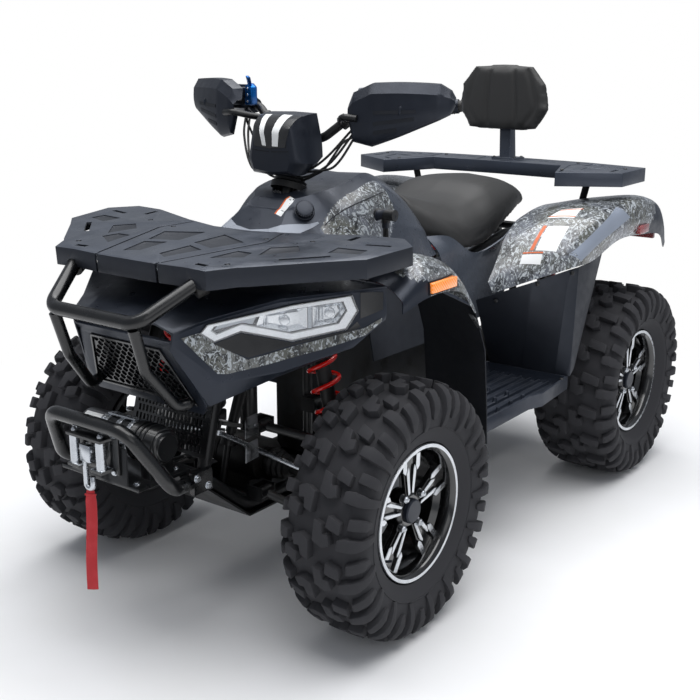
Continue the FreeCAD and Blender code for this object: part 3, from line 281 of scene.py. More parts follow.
@dataclass(frozen=True)
class Rubber(Finish):
    """Tyre or boot rubber with dust in its low places and a fine dull skin."""

    dust: float = 0.16
    dust_colour: str = "77736c"

    def paint(self, graph: Graph) -> None:
        """Scatters dust and flow marks over near-black rubber.

        Args:
            graph: The material's graph.
        """
        cloud = graph.band(graph.noise(14, 8, 0.6), 0.42, 0.7, 0, self.dust)
        flow = graph.band(graph.noise(150, 4, 0.5), 0.5, 0.8, 0, self.dust * 0.6)
        dusty = graph.math("MAXIMUM", cloud, flow)
        graph.set(
            Base_Color=graph.blend(dusty, self.colour, self.dust_colour),
            Roughness=graph.band(dusty, 0, 0.3, self.roughness, self.roughness + 0.2),
            Specular_IOR_Level=0.42)
        skin = graph.bump(graph.noise(700, 3), 0.00025, 0.6)
        graph.set(Normal=graph.bump(graph.noise(75, 3), 0.0006, 0.35, skin))


@dataclass(frozen=True)
class Bright(Finish):
    """Plated, turned or brushed bright metal with fine tool marks."""

    marks: Point = (40.0, 40.0, 900.0)
    tarnish: str = "95989c"
    metallic: float = 1.0

    def paint(self, graph: Graph) -> None:
        """Draws fine marks along one direction and light tarnish.

        Args:
            graph: The material's graph.
        """
        lines = graph.noise(1, 3, 0, graph.stretched(self.marks))
        dull = graph.band(graph.noise(24, 4), 0.45, 0.85, 0, 0.5)
        graph.set(
            Base_Color=graph.blend(dull, self.colour, self.tarnish), Metallic=self.metallic,
            Roughness=graph.band(lines, 0.3, 0.7, self.roughness - 0.08, self.roughness + 0.12),
            Normal=graph.bump(lines, 0.00006, 0.5))


@dataclass(frozen=True)
class Camouflage(Finish):
    """A film print of pale and dark bark-like flecks over grey, under a clear coat."""

    pale: str = "b3b9bd"
    dark: str = "15171a"
    olive: str = "55564f"
    fleck: float = 34.0

    def paint(self, graph: Graph) -> None:
        """Layers grey patches, olive shadows, dark bark lines and pale flecks.

        Args:
            graph: The material's graph.
        """
        bark = graph.stretched((1, 0.75, 0.6), (0.3, 0.5, 0.2))
        patch = graph.band(graph.noise(9, 5, 1.1, bark), 0.4, 0.6)
        body = graph.blend(patch, self.colour, self.olive)
        shadow = graph.band(graph.noise(self.fleck * 0.55, 8, 2.2, bark), 0.52, 0.57)
        body = graph.blend(graph.math("MULTIPLY", shadow, 0.85), body, self.dark)
        pale = graph.band(graph.noise(self.fleck, 7, 3, bark), 0.54, 0.6)
        thin = graph.band(graph.noise(self.fleck * 2.4, 4, 2.5, bark), 0.6, 0.66)
        body = graph.blend(graph.math("MAXIMUM", pale, thin), body, self.pale)
        line = graph.band(graph.noise(self.fleck * 1.5, 3, 4), 0.485, 0.5)
        edge = graph.band(graph.noise(self.fleck * 1.5, 3, 4), 0.5, 0.515, 1, 0)
        twig = graph.math("MULTIPLY", graph.math("MULTIPLY", line, edge), 0.9)
        body = graph.blend(twig, body, self.dark)
        graph.set(
            Base_Color=body, Roughness=self.roughness, Coat_Weight=0.6, Coat_Roughness=0.12,
            Normal=graph.bump(graph.noise(160, 2), 0.00012, 0.4))


@dataclass(frozen=True)
class Vinyl(Finish):
    """Seat vinyl with a leather grain of rounded cells and fine creases."""

    cell: float = 420.0
    tint: str = "34363a"

    def paint(self, graph: Graph) -> None:
        """Presses a leather grain into soft black vinyl.

        Args:
            graph: The material's graph.
        """
        cloud = graph.band(graph.noise(10, 3), 0.35, 0.7)
        creases = graph.cells(self.cell, "DISTANCE_TO_EDGE")
        graph.set(
            Base_Color=graph.blend(cloud, self.colour, self.tint), Roughness=graph.band(creases, 0,
            0.25, self.roughness + 0.14, self.roughness), Specular_IOR_Level=0.5)
        grain = graph.bump(graph.band(creases, 0, 0.2), 0.00022, 0.7)
        graph.set(Normal=graph.bump(graph.noise(55, 4), 0.0005, 0.3, grain))


@dataclass(frozen=True)
class Lens(Finish):
    """A coloured or clear moulded lens with prisms behind it."""

    clear: float = 0.35
    prism: float = 210.0
    glow: float = 0.0

    def paint(self, graph: Graph) -> None:
        """Tints the lens, with a lattice of prisms and a faint inner glow; the prisms' paler
        squares are painted glints.

        Args:
            graph: The material's graph.
        """
        prisms = graph.node(
            "TexChecker", {"Vector": graph.place, "Scale": self.prism}).outputs["Fac"]
        cloud = graph.band(graph.noise(30, 2), 0.3, 0.7, 0.85, 1)
        # The paler squares of the prism lattice are painted glints; the bump gives the prisms'
        # relief.
        tone = graph.blend(graph.math("MULTIPLY", prisms, 0.18), self.colour, "ffffff")
        graph.set(
            Base_Color=graph.blend(cloud, "20120a", tone), Roughness=self.roughness,
            Transmission_Weight=self.clear, Coat_Weight=0.8, Coat_Roughness=0.05,
            Emission_Color=self.colour, Emission_Strength=self.glow, Normal=graph.bump(prisms,
            0.0006, 0.35))


@dataclass(frozen=True)
class Woven(Finish):
    """Flat webbing with ribs across it and twill along it."""

    pitch: float = 420.0

    def paint(self, graph: Graph) -> None:
        """Weaves ribs across the strap and paints shade into the gaps between them.

        Args:
            graph: The material's graph.
        """
        ribs = graph.node(
            "TexWave", {"Vector": graph.place, "Scale": self.pitch / 3.2, "Distortion": 0.6},
            bands_direction="Z").outputs["Fac"]
        warp = graph.node(
            "TexWave", {"Vector": graph.place, "Scale": self.pitch / 2.4},
            bands_direction="X").outputs["Fac"]
        weave = graph.math("MULTIPLY", ribs, graph.band(warp, 0, 1, 0.6, 1))
        worn = graph.band(graph.noise(26, 5), 0.5, 0.8, 0, 0.25)
        # The darker red in the gaps between the ribs is painted shade; the bump gives the weave's
        # relief.
        body = graph.blend(weave, "8a0f16", self.colour)
        graph.set(
            Base_Color=graph.blend(worn, body, "f06068"), Roughness=self.roughness,
            Sheen_Weight=0.3, Normal=graph.bump(weave, 0.0004, 0.8))


@dataclass(frozen=True)
class Clear(Finish):
    """A hard clear cover, nearly invisible but for its sheen."""

    opacity: float = 0.1

    def paint(self, graph: Graph) -> None:
        """Makes the cover thin, with a faint haze that thickens in patches.

        Args:
            graph: The material's graph.
        """
        haze = graph.band(graph.noise(24, 4), 0.35, 0.75, self.opacity * 0.8, self.opacity * 1.5)
        graph.set(
            Base_Color=self.colour, Roughness=self.roughness, Alpha=haze, Coat_Weight=1,
            Coat_Roughness=0.03, Normal=graph.bump(graph.noise(60, 2), 0.00005, 0.3))


class Coat(Enum):
    """Every finish on the vehicle."""

    DECK = Moulded("deck_plastic", "1b2028", 0.33, tint="222833", dust=0.1, specular=1)
    PANEL = Moulded("panel_plastic", "1b1f27", 0.4, tint="232832", grain=1000)
    NOSE = Moulded("nose_plastic", "171b23", 0.33, tint="1e232c", grain=1000, dust=0.05)
    LINER = Moulded("liner_plastic", "0c0d0f", 0.62, tint="141518", dust=0.05)
    GUARD = Moulded("guard_plastic", "0f1219", 0.36, tint="151921", dust=0.04)
    TUBE = Powder("tube_powder", "060709", 0.26, scuff="25272a")
    STEEL = Powder("chassis_paint", "08090b", 0.42, coat=0.1, scuff="2a2c2f")
    CASTING = Cast("bare_casting", "8b8d90", 0.48)
    DARK_CASTING = Cast("dark_casting", "2b2c2e", 0.52, metallic=0.4)
    TYRE = Rubber("tyre_rubber", "111318", 0.55, dust=0.1)
    BOOT = Rubber("boot_rubber", "0c0c0d", 0.48, dust=0.08)
    SHEATH = Rubber("cable_sheath", "0b0b0c", 0.42, dust=0.05)
    GLOSS_BLACK = Powder("rim_black", "060607", 0.16, coat=0.9, peel_depth=0.00004)
    MACHINED = Bright("rim_machined", "d5d8dc", 0.28, marks=(900, 60, 60))
    PLATED = Bright("zinc_plating", "c6cacf", 0.26)
    SPRING = Powder("spring_enamel", "e3150c", 0.22, coat=0.6, scuff="a0120a")
    CAMO = Camouflage("camouflage_film", "5f636c", 0.3, fleck=46)
    SEAT = Vinyl("seat_vinyl", "1b1f27", 0.32, tint="242932")
    AMBER = Lens("amber_lens", "ff8a00", 0.2, clear=0, glow=0.35)
    RED = Lens("red_lens", "9b1a20", 0.22, clear=0.15)
    STRAP = Woven("strap_webbing", "e0202c", 0.78)
    LIGHT_GUIDE = Lens("light_guide", "f4f7fa", 0.24, clear=0, glow=0.1)
    CHROME = Bright("reflector_chrome", "e6e9ec", 0.12, marks=(200, 200, 200))
    LAMP_SILVER = Bright("lamp_silver", "b4bac1", 0.34, metallic=0.5)
    COVER = Clear("lamp_cover", "f3f6fa", 0.05)
    CAMO_FINE = Camouflage("fine_camouflage_film", "6f716f", 0.3, fleck=62)
    GRILLE = Powder("grille_gloss", "090a0c", 0.28, coat=0.6)
    LABEL = Moulded("blank_film", "e9eae9", 0.36, tint="e1e2e1", dust=0.03, grain=300)
    LABEL_ORANGE = Moulded("orange_film", "d8641c", 0.36, tint="c85a18", dust=0.03, grain=300)
    BAND = Moulded("plain_band", "8d95a3", 0.34, tint="858d9a", dust=0.05, grain=300)
    BLUE = Bright("blue_anodised", "1468b8", 0.3, metallic=0.85)
    PALE = Moulded("pale_plastic", "8d929b", 0.44, tint="979ca5")
    SIDE = Moulded("side_plastic", "343941", 0.28, tint="3d424b", grain=1000)
    LEG = Moulded("leg_plastic", "14161b", 0.44, tint="1b1e24", dust=0.06)
    SWITCH = Moulded("switch_plastic", "5d6167", 0.42, tint="666a70", dust=0.03)
    WINCH_BLACK = Powder("winch_enamel", "101113", 0.32, coat=0.5)
    # A darker, duller copy of the deck plastic for the front deck's recesses: painted shade.
    POCKET_SHADE = Moulded("pocket_painted_shade", "0f1115", 0.5, tint="14171c", dust=0.04)

    def material(self) -> bpy.types.Material:
        """The finish's material."""
        return self.value.material()


def curve(points: Sequence[Vector | Point], steps: int, folds: Iterable[int] = ()) -> list[Vector]:
    """Runs a smooth line through points.

    Args:
        points: The points that the line passes.
        steps: The steps from one point to the next.
        folds: The numbers of the points that keep a corner.

    Returns:
        The line's points, the given ones among them.
    """
    path = []
    last = len(points) - 1
    for i in range(last):
        here, there = Vector(points[i]), Vector(points[i + 1])
        before = Vector(points[i - 1]) if i > 0 and i not in folds else here * 2 - there
        after = (
            Vector(points[i + 2]) if i + 1 < last and i + 1 not in folds else there * 2 - here)
        run = (there - here).length
        leave = (there - before) * (run / max(run + (here - before).length, 1e-9))
        reach = (after - here) * (run / max(run + (after - there).length, 1e-9))
        for step in range(steps):
            t = step / steps
            path.append(
                here * (2 * t ** 3 - 3 * t ** 2 + 1) + leave * (t ** 3 - 2 * t ** 2 + t) + there
                * (3 * t ** 2 - 2 * t ** 3) + reach * (t ** 3 - t ** 2))
    path.append(Vector(points[last]))
    return path


def circle(centre: Vector, side: Vector, up: Vector, radius: float, count: int) -> list[Vector]:
    """Evenly spaced points round a centre, in the plane of two directions."""
    return [
        centre + (side * cos(tau * k / count) + up * sin(tau * k / count)) * radius
        for k in range(count)]


def stations(rows: Iterable[tuple[float, Sequence[Pair]]]) -> list[list[Vector]]:
    """Turns (y, [(x, z), ...]) rows into rows of points."""
    return [[Vector((x, y, z)) for x, z in line] for y, line in rows]


def both_halves(rows: Iterable[Sequence[Vector]]) -> list[list[Vector]]:
    """Carries rows that start on the centre plane over to the other side."""
    return [[Vector((-p.x, p.y, p.z)) for p in row[:0:-1]] + list(row) for row in rows]


class Form:
    """A mesh under construction, shaped with bmesh operators."""

    def __init__(self, node: str = "") -> None:
        """Starts empty, or with nothing but the name of the CAD node that it stands for."""
        self.bm = bmesh.new()
        self.node = node

    def plate(
            self, outline: Iterable[Vector | Point], push: Vector | Point, index: int = 0,
            edge: float = 0.0, rounds: int = 1) -> Verts:
        """Pushes a flat outline into a closed block.

        Args:
            outline: The outline's corners in order.
            push: How far and which way the outline is extruded.
            index: The block's material slot.
            edge: The width of its rounded edges.
            rounds: How many strips make the round.

        Returns:
            The block's vertices.
        """
        corners = [self.bm.verts.new(Vector(p)) for p in outline]
        face = self.bm.faces.new(corners)
        face.material_index = index
        grown = bmesh.ops.extrude_face_region(self.bm, geom=[face])["geom"]
        moved = [g for g in grown if isinstance(g, Vert)]
        bmesh.ops.translate(self.bm, verts=moved, vec=Vector(push))
        self.coat(moved, index)
        self.soften(corners + moved, edge, rounds)
        return corners + moved

    def lathe(self, line: Sequence[Pair], steps: int = 96, index: int = 0) -> Verts:
        """Spins a line of (x, radius) points round the X axis.

        Args:
            line: Its points; it is closed where first and last agree.
            steps: How many steps make the full turn.
            index: The surface's material slot.

        Returns:
            The surface's vertices.
        """
        closed = line[0] == line[-1]
        before = set(self.bm.verts)
        points = [self.bm.verts.new((x, 0, r)) for x, r in (line[:-1] if closed else line)]
        pairs = list(zip(points, points[1:])) + ([(points[-1], points[0])] if closed else [])
        edges = [self.bm.edges.new(pair) for pair in pairs]
        bmesh.ops.spin(
            self.bm, geom=points + edges, cent=(0, 0, 0), axis=(1, 0, 0), dvec=(0, 0, 0),
            angle=tau, steps=steps, use_merge=True)
        bmesh.ops.remove_doubles(
            self.bm, verts=[v for v in self.bm.verts if v not in before], dist=1e-6)
        made = [v for v in self.bm.verts if v not in before]
        self.coat(made, index)
        return made

    def rod(
            self, start: Vector | Point, end: Vector | Point, radius: float,
            end_radius: float | None = None, sides: int = 24, index: int = 0, edge: float = 0.0,
            rounds: int = 1) -> Verts:
        """Adds a round bar, or a cone where the end has its own radius.

        Args:
            start: The centre of the first end.
            end: The centre of the other end.
            radius: The first end's radius.
            end_radius: The other end's radius, where it differs.
            sides: How many sides the bar has.
            index: The bar's material slot.
            edge: The width of its rounded edges.
            rounds: How many strips make the round.

        Returns:
            The bar's vertices.
        """
        start, end = Vector(start), Vector(end)
        run = end - start
        turn = run.to_track_quat("Z", "Y").to_matrix().to_4x4()
        made = bmesh.ops.create_cone(
            self.bm, cap_ends=True, segments=sides, radius1=radius, radius2=radius
            if end_radius is None else end_radius, depth=run.length,
            matrix=Matrix.Translation((start + end) / 2) @ turn)["verts"]
        self.coat(made, index)
        self.soften(made, edge, rounds)
        return made

    def coat(self, verts: Verts, index: int) -> None:
        """Gives the faces round the vertices their material slot."""
        for face in {face for vert in verts for face in vert.link_faces}:
            face.material_index = index

    def soften(
            self, verts: Verts, width: float, segments: int = 2,
            keep: Callable[[bmesh.types.BMEdge], bool] | None = None) -> None:
        """Rounds the sharp edges among the vertices.

        Args:
            verts: The vertices whose edges are looked at.
            width: The bevel's width.
            segments: How many strips make the round.
            keep: Picks the edges to round, where not all are.
        """
        if not width:
            return
        edges = {e for v in verts for e in v.link_edges if len(e.link_faces) == 2}
        sharp = [e for e in edges if e.calc_face_angle(0) > 0.5 and (keep is None or keep(e))]
        bmesh.ops.bevel(
            self.bm, geom=sharp, offset=width, offset_type="OFFSET", segments=segments,
            profile=0.5, affect="EDGES", clamp_overlap=True, material=-1)

    def turn(self, verts: Verts, matrix: Matrix) -> None:
        """Moves the vertices by a matrix."""
        bmesh.ops.transform(self.bm, matrix=matrix, verts=list(verts))

    def repeat(self, count: int, axis: str = "X", start: float = 0.0) -> None:
        """Sets copies of the whole form evenly round an axis.

        Args:
            count: How many there are in the end.
            axis: The axis's letter.
            start: The turn of the first one, in radians.
        """
        original = self.bm.verts[:] + self.bm.edges[:] + self.bm.faces[:]
        for step in range(1, count):
            copied = bmesh.ops.duplicate(self.bm, geom=original)["geom"]
            verts = [g for g in copied if isinstance(g, Vert)]
            self.turn(verts, Matrix.Rotation(tau * step / count, 4, axis))
        if start:
            self.turn(self.bm.verts[:], Matrix.Rotation(start, 4, axis))

    def join(self, other: "Form") -> None:
        """Adds another form's mesh to this one.

        Args:
            other: The other form, which is used up.
        """
        mesh = bpy.data.meshes.new("joined")
        other.bm.to_mesh(mesh)
        self.bm.from_mesh(mesh)
        other.bm.free()
        bpy.data.meshes.remove(mesh)

    def across(self) -> None:
        """Adds the mirror image across the vehicle's centre plane."""
        bmesh.ops.mirror(
            self.bm, geom=self.bm.verts[:] + self.bm.edges[:] + self.bm.faces[:], merge_dist=0,
            axis="X")

    def face(self, corners: Verts, slot: Slot = 0) -> None:
        """Closes a face; its slot is a number, or picked by its place."""
        face = self.bm.faces.new(corners)
        face.material_index = slot if isinstance(slot, int) else slot(face.calc_center_median())

    def grid(self, rows: Rows, slot: Slot = 0, ring: bool = False) -> list[Verts]:
        """Lays a sheet of faces over rows of points, closed from last to first as a ring.

        Args:
            rows: Rows of equally many points.
            slot: The faces' slot.
            ring: Whether the last row joins the first.

        Returns:
            The vertices, row by row.
        """
        grid = [[self.bm.verts.new(point) for point in row] for row in rows]
        for a, b in zip(grid, grid[1:] + (grid[:1] if ring else [])):
            for j in range(len(a) - 1):
                self.face((a[j], a[j + 1], b[j + 1], b[j]), slot)
        return grid

    def walled(self, outer: Rows, inner: Rows, slot: Slot = 0) -> None:
        """Lays two sheets over as many points and closes the wall between their rims.

        Args:
            outer: The first sheet's rows.
            inner: The second sheet's rows.
            slot: The faces' slot.
        """
        rims = [
            [row[0] for row in sheet] + sheet[-1][1:-1] + [row[-1] for row in sheet[::-1]]
            + sheet[0][-2:0:-1] for sheet in (self.grid(outer, slot), self.grid(inner, slot))]
        corners = list(zip(*rims))
        for (a, b), (c, d) in zip(corners, corners[1:] + corners[:1]):
            self.face((a, c, d, b), slot)

    def loft(self, columns: Rows, slot: Slot = 0) -> None:
        """Joins columns of points into a closed body with capped ends."""
        grid = self.grid(columns, slot, ring=True)
        self.face([column[0] for column in grid], slot)
        self.face([column[-1] for column in grid][::-1], slot)

    def shell(
            self, rows: Rows, wall: float, along: int = 6, across: int = 6,
            folds: Iterable[int] = (), ends: Iterable[int] = (), pick: Slot = 0,
            core: Point = (0.0, 0.0, 0.6)) -> None:
        """Stretches a smooth sheet with a wall over rows of points.

        Args:
            rows: Rows of equally many points.
            wall: The wall's thickness, laid on the inner side.
            along: The steps from one row to the next.
            across: The steps from one point of a row to the next.
            folds: The points of each row that keep a fold.
            ends: The rows that keep a fold.
            pick: Gives the material slot for a place on the sheet.
            core: A point inside the vehicle; its y is ignored.
        """
        dense = [curve(row, across, folds) for row in rows]
        outer = [curve(column, along, ends) for column in zip(*dense)]
        inner: list[list[Vector]] = []
        for i, column in enumerate(outer):
            inner.append([])
            for j, point in enumerate(column):
                side = outer[min(i + 1, len(outer) - 1)][j] - outer[max(i - 1, 0)][j]
                run = column[min(j + 1, len(column) - 1)] - column[max(j - 1, 0)]
                normal = side.cross(run).normalized()
                if normal.dot(point - Vector((core[0], point.y, core[2]))) < 0:
                    normal.negate()
                inner[-1].append(point - normal * wall)
        self.walled(outer, inner, pick)

    def hull(self, rows: Rows, along: int, across: int, folds: Iterable[int] = ()) -> None:
        """Lofts a closed body smoothly through closed rows of points."""
        dense = [curve([*row, row[0]], across, {0, *folds})[:-1] for row in rows]
        self.loft([curve(column, along) for column in zip(*dense)])

    def line(
            self, points: Sequence[Vector | Point], radius: float, steps: int = 6, sides: int = 12,
            slot: int = 0) -> None:
        """Runs a round bar along a smooth line through points.

        Args:
            points: The points that it passes.
            radius: The bar's radius.
            steps: The steps from one point to the next.
            sides: How many sides it has.
            slot: Its material slot.
        """
        path = curve(points, steps)
        rings = []
        side = Vector((0, 0, 1))
        for i, point in enumerate(path):
            ahead = (path[min(i + 1, len(path) - 1)] - path[max(i - 1, 0)]).normalized()
            if abs(ahead.dot(side)) > 0.95:
                side = Vector((1, 0, 0))
            side = (side - ahead * side.dot(ahead)).normalized()
            rings.append(circle(point, side, ahead.cross(side), radius, sides))
        self.loft(list(zip(*rings)), slot)

    def drape(
            self, top: Sequence[Point], low: Sequence[Point], tree: BVHTree, aim: Point,
            lift: float = 0.0012, steps: int = 3, rows: int = 4, index: int = 0) -> None:
        """Lays a thin patch on a surface, between two lines of points.

        Args:
            top: The patch's upper line.
            low: The patch's lower line, with as many points.
            tree: The surface that it lies on.
            aim: The way that the patch faces.
            lift: How far its face stands off the surface.
            steps: The steps from one point to the next.
            rows: The strips between the two lines.
            index: The patch's material slot.
        """
        facing = Vector(aim).normalized()
        upper, lower = (
            [Vector(a).lerp(Vector(b), step / steps) for a, b in zip(line, line[1:])
            for step in range(steps)] + [Vector(line[-1])] for line in (top, low))
        sheets: tuple[list[list[Vector]], ...] = ([], [])
        for sheet, height in zip(sheets, (lift, -0.0015)):
            for a, b in zip(upper, lower):
                sheet.append([])
                for row in range(rows + 1):
                    point = a.lerp(b, row / rows)
                    place, normal, _, _ = tree.ray_cast(point + facing * 0.12, -facing, 0.24)
                    if place is not None:
                        point = place + (normal if normal.dot(facing) > 0 else facing) * height
                    sheet[-1].append(point)
        self.walled(*sheets, index)

    def bolt(
            self, at: Point, facing: Point, radius: float = 0.006, index: int = 0,
            sunk: bool = True) -> None:
        """Sets a button-head screw with a hexagon socket on a surface.

        Args:
            at: The point of the surface under its head.
            facing: The way that its head faces.
            radius: The head's radius.
            index: The head's material slot.
            sunk: Whether it has a socket, or else a hexagon head.
        """
        axis = Vector(facing).normalized() * radius
        base = Vector(at)
        if sunk:
            for low, high, wide, end, sides, edge in (
                    (-0.002 / radius, 0.3, 1, 1, 20, 0.08), (0.28, 0.62, 0.98, 0.62, 20, 0.08),
                    (0.5, 0.66, 0.36, 0.36, 6, 0.05)):
                self.rod(
                    base + axis * low, base + axis * high, radius * wide, radius * end, sides,
                    index, edge=radius * edge)
        else:
            unit = axis / radius
            self.rod(
                base - unit * 0.001, base + unit * 0.0012, radius * 1.25, None, 24, index,
                edge=radius * 0.1)
            self.rod(
                base + unit * 0.001, base + axis * 0.75, radius, None, 6, index, edge=radius * 0.1)

    def mark(self, index: int, where: Callable[[Vector, Vector], bool]) -> None:
        """Gives the slot to each face whose middle and normal pass the test."""
        for face in self.bm.faces:
            if where(face.calc_center_median(), face.normal):
                face.material_index = index

    def tree(self) -> BVHTree:
        """The form's surface, for laying things on it."""
        return BVHTree.FromBMesh(self.bm)

    def finish(
            self, name: str, slot: str, *coats: Coat, node: str = "", body: str = "root",
            matrix: Matrix = Matrix(), smooth: float = 35.0) -> bpy.types.Object:
        """Turns the form into an object on its body; the form stays, for further copies.

        Args:
            name: The piece's name.
            slot: The record's name for its material; not used.
            coats: The finishes, by the form's material slots.
            node: The CAD node that it stands for, where the form isn't a copy of one.
            body: The body that it rides on.
            matrix: Where the mesh is moved to.
            smooth: Sharper edges than this, in degrees, stay sharp.

        Returns:
            The object, at the origin.
        """
        mesh = bpy.data.meshes.new(name)
        work = self.bm.copy()
        work.transform(matrix)
        bmesh.ops.recalc_face_normals(work, faces=work.faces)
        work.to_mesh(mesh)
        work.free()
        mesh.shade_smooth()
        mesh.set_sharp_from_angle(angle=radians(smooth))
        for coat in coats:
            mesh.materials.append(coat.material())
        piece = bpy.data.objects.new(name, mesh)
        bpy.context.scene.collection.objects.link(piece)
        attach(piece, body)
        if node or self.node:
            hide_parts(node or self.node)
        LOG.info("%s: %d faces on %s", name, len(mesh.polygons), body)
        return piece


def copied(node: str, edge: float = 0.0, rounds: int = 2) -> Form:
    """A CAD node's mesh, its triangles merged and its edges rounded to that width.

    Args:
        node: The node's name.
        edge: The rounds' width; 0 leaves the edges sharp.
        rounds: How many strips make a round.

    Returns:
        The form, which stands for the node.
    """
    form = Form(node)
    form.bm.from_mesh(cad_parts[node].data)
    bmesh.ops.remove_doubles(form.bm, verts=form.bm.verts[:], dist=2e-5)
    bmesh.ops.dissolve_limit(
        form.bm, angle_limit=radians(1.5), verts=form.bm.verts[:], edges=form.bm.edges[:])
    form.coat(form.bm.verts, 0)
    form.soften(form.bm.verts, edge, rounds)
    return form


def around(
        rows: Iterable[tuple[float, Sequence[Pair]]], y: float = 0.0,
        height: float = 0.0) -> list[list[Vector]]:
    """Closes (y, [(x, z), ...]) half outlines across the centre plane, and sets them in place."""
    return [
        [Vector((x, y + row_y, height + z)) for x, z in line]
        + [Vector((-x, y + row_y, height + z)) for x, z in line[-2:0:-1]] for row_y, line in rows]


@dataclass
class Tyre:
    """A knobbly tyre about the X axis: a carcass with wrapped tread blocks."""

    radius: float = 0.308
    width: float = 0.205
    rim_width: float = 0.164
    lug: float = 0.02
    flange: float = 0.1663
    pitches: int = 18

    def outline(self) -> list[Pair]:
        """The carcass line from the crown to the bead, as (x, radius) points."""
        crown = self.radius - self.lug
        half = self.width / 2
        bead = self.rim_width / 2 - 0.0123
        return [
            (0, crown), (half - 0.05, crown - 0.001), (half - 0.03, crown - 0.006),
            (half - 0.014, crown - 0.016), (half - 0.005, crown - 0.034),
            (half - 0.003, crown - 0.056), (half - 0.006, self.flange + 0.046),
            (half - 0.011, self.flange + 0.026), (bead + 0.012, self.flange + 0.01),
            (bead + 0.01, self.flange + 0.003), (bead, self.flange)]

    def on_tread(self, across: float, along: float, height: float) -> Vector:
        """The point of the tyre where a flat drawing's point lands.

        Args:
            across: The distance along the carcass line from the crown.
            along: The distance round the tyre.
            height: The height above the carcass.

        Returns:
            The point, on the wheel about the X axis.
        """
        side = -1 if across < 0 else 1
        left = abs(across)
        line = self.outline()
        for (x0, r0), (x1, r1) in zip(line, line[1:]):
            length = hypot(x1 - x0, r1 - r0)
            if left <= length or (x1, r1) == line[-1]:
                break
            left -= length
        share = min(left / length, 1)
        x, r = mixed(x0, x1, share), mixed(r0, r1, share)
        x += (r0 - r1) / length * height
        r += (x1 - x0) / length * height
        angle = along / (self.radius - self.lug)
        return Vector((side * x, r * sin(angle), r * cos(angle)))

    def block(self, outline: Sequence[Pair], tall: float, end: float) -> Form:
        """One tread block, drawn flat and wrapped on the carcass.

        Args:
            outline: Its corners as (across, along) distances.
            tall: Its height at the crown.
            end: Its height low on the sidewall.

        Returns:
            The block as a form of its own.
        """
        form = Form()
        verts = form.plate([(u, s, -0.008) for u, s in outline], (0, 0, 0.008 + tall))
        form.soften(
            verts, 0.0022, 2, lambda e: min(v.co.z for v in e.verts) > 0
            or abs(e.verts[0].co.z - e.verts[1].co.z) > 0.01)
        low = min(u for u, _ in outline)
        high = max(u for u, _ in outline)
        cuts = max(1, round((high - low) / 0.011))
        for cut in range(1, cuts):
            geometry = form.bm.verts[:] + form.bm.edges[:] + form.bm.faces[:]
            bmesh.ops.bisect_plane(
                form.bm, geom=geometry, dist=1e-5, plane_no=(1, 0, 0),
                plane_co=(mixed(low, high, cut / cuts), 0, 0))
        shoulder = self.width / 2 - 0.02
        reach = max(high - shoulder, 0.001)
        for vert in form.bm.verts:
            u, s, z = vert.co
            fade = min(max((u - shoulder) / reach, 0), 1)
            if z > 0:
                z *= mixed(1, end / tall, fade)
            vert.co = self.on_tread(u, s, z)
        return form

    def tread(self) -> Form:
        """All the tread blocks: staggered centre chevrons and shoulder blocks."""
        rim_u = self.width / 2 + 0.058
        half = self.width / 2
        centre = mm((5, -24), (30, -34), (50, -26), (44, -4), (30, -6), (26, 14), (5, 20))
        inner = [(0.036, 0.01), (half - 0.036, 0), (half - 0.034, 0.024), (0.04, 0.036)]
        long_edge = [
            (half - 0.042, -0.032), (half - 0.012, -0.036), (rim_u, -0.027),
            (rim_u - 0.004, -0.008), (half + 0.006, -0.012), (half - 0.024, -0.006),
            (half - 0.04, -0.01)]
        short_edge = [
            (half - 0.026, 0.014), (half + 0.012, 0.01), (half + 0.034, 0.014),
            (half + 0.032, 0.03), (half + 0.004, 0.038), (half - 0.024, 0.036)]
        tread = Form()
        for sign, shift in ((1, 0), (-1, 0.5)):
            side = Form()
            for outline, tall, end in (
                    (centre, self.lug, self.lug), (inner, self.lug, self.lug),
                    (long_edge, self.lug - 0.001, 0.004), (short_edge, self.lug - 0.001, 0.005)):
                side.join(self.block(outline, tall, end))
            if sign < 0:
                side.turn(side.bm.verts[:], Matrix.Scale(-1, 4, (1, 0, 0)))
                side.turn(side.bm.verts[:], Matrix.Scale(-1, 4, (0, 1, 0)))
            side.repeat(self.pitches, "X", shift * tau / self.pitches)
            tread.join(side)
        return tread

    def build(self) -> Form:
        """The whole tyre about the X axis, its outer side towards +X."""
        form = Form()
        line = self.outline()
        ribbed: list[Pair] = line[:6]
        for share, lift in ((0.25, 0), (0.3, 0.0016), (0.36, 0.0016), (0.41, 0)):
            ribbed.append(
                (mixed(line[6][0], line[7][0], share) + lift, mixed(line[6][1], line[7][1],
                share)))
        ribbed += line[7:]
        inside = [
            (line[-1][0] - 0.012, self.flange + 0.002), (line[-1][0] - 0.006, self.flange + 0.05)]
        half = ribbed + inside
        loop = half + [(-x, r) for x, r in half[::-1] if x > 1e-6] + [half[0]]
        form.lathe(loop, 120)
        form.join(self.tread())
        return form


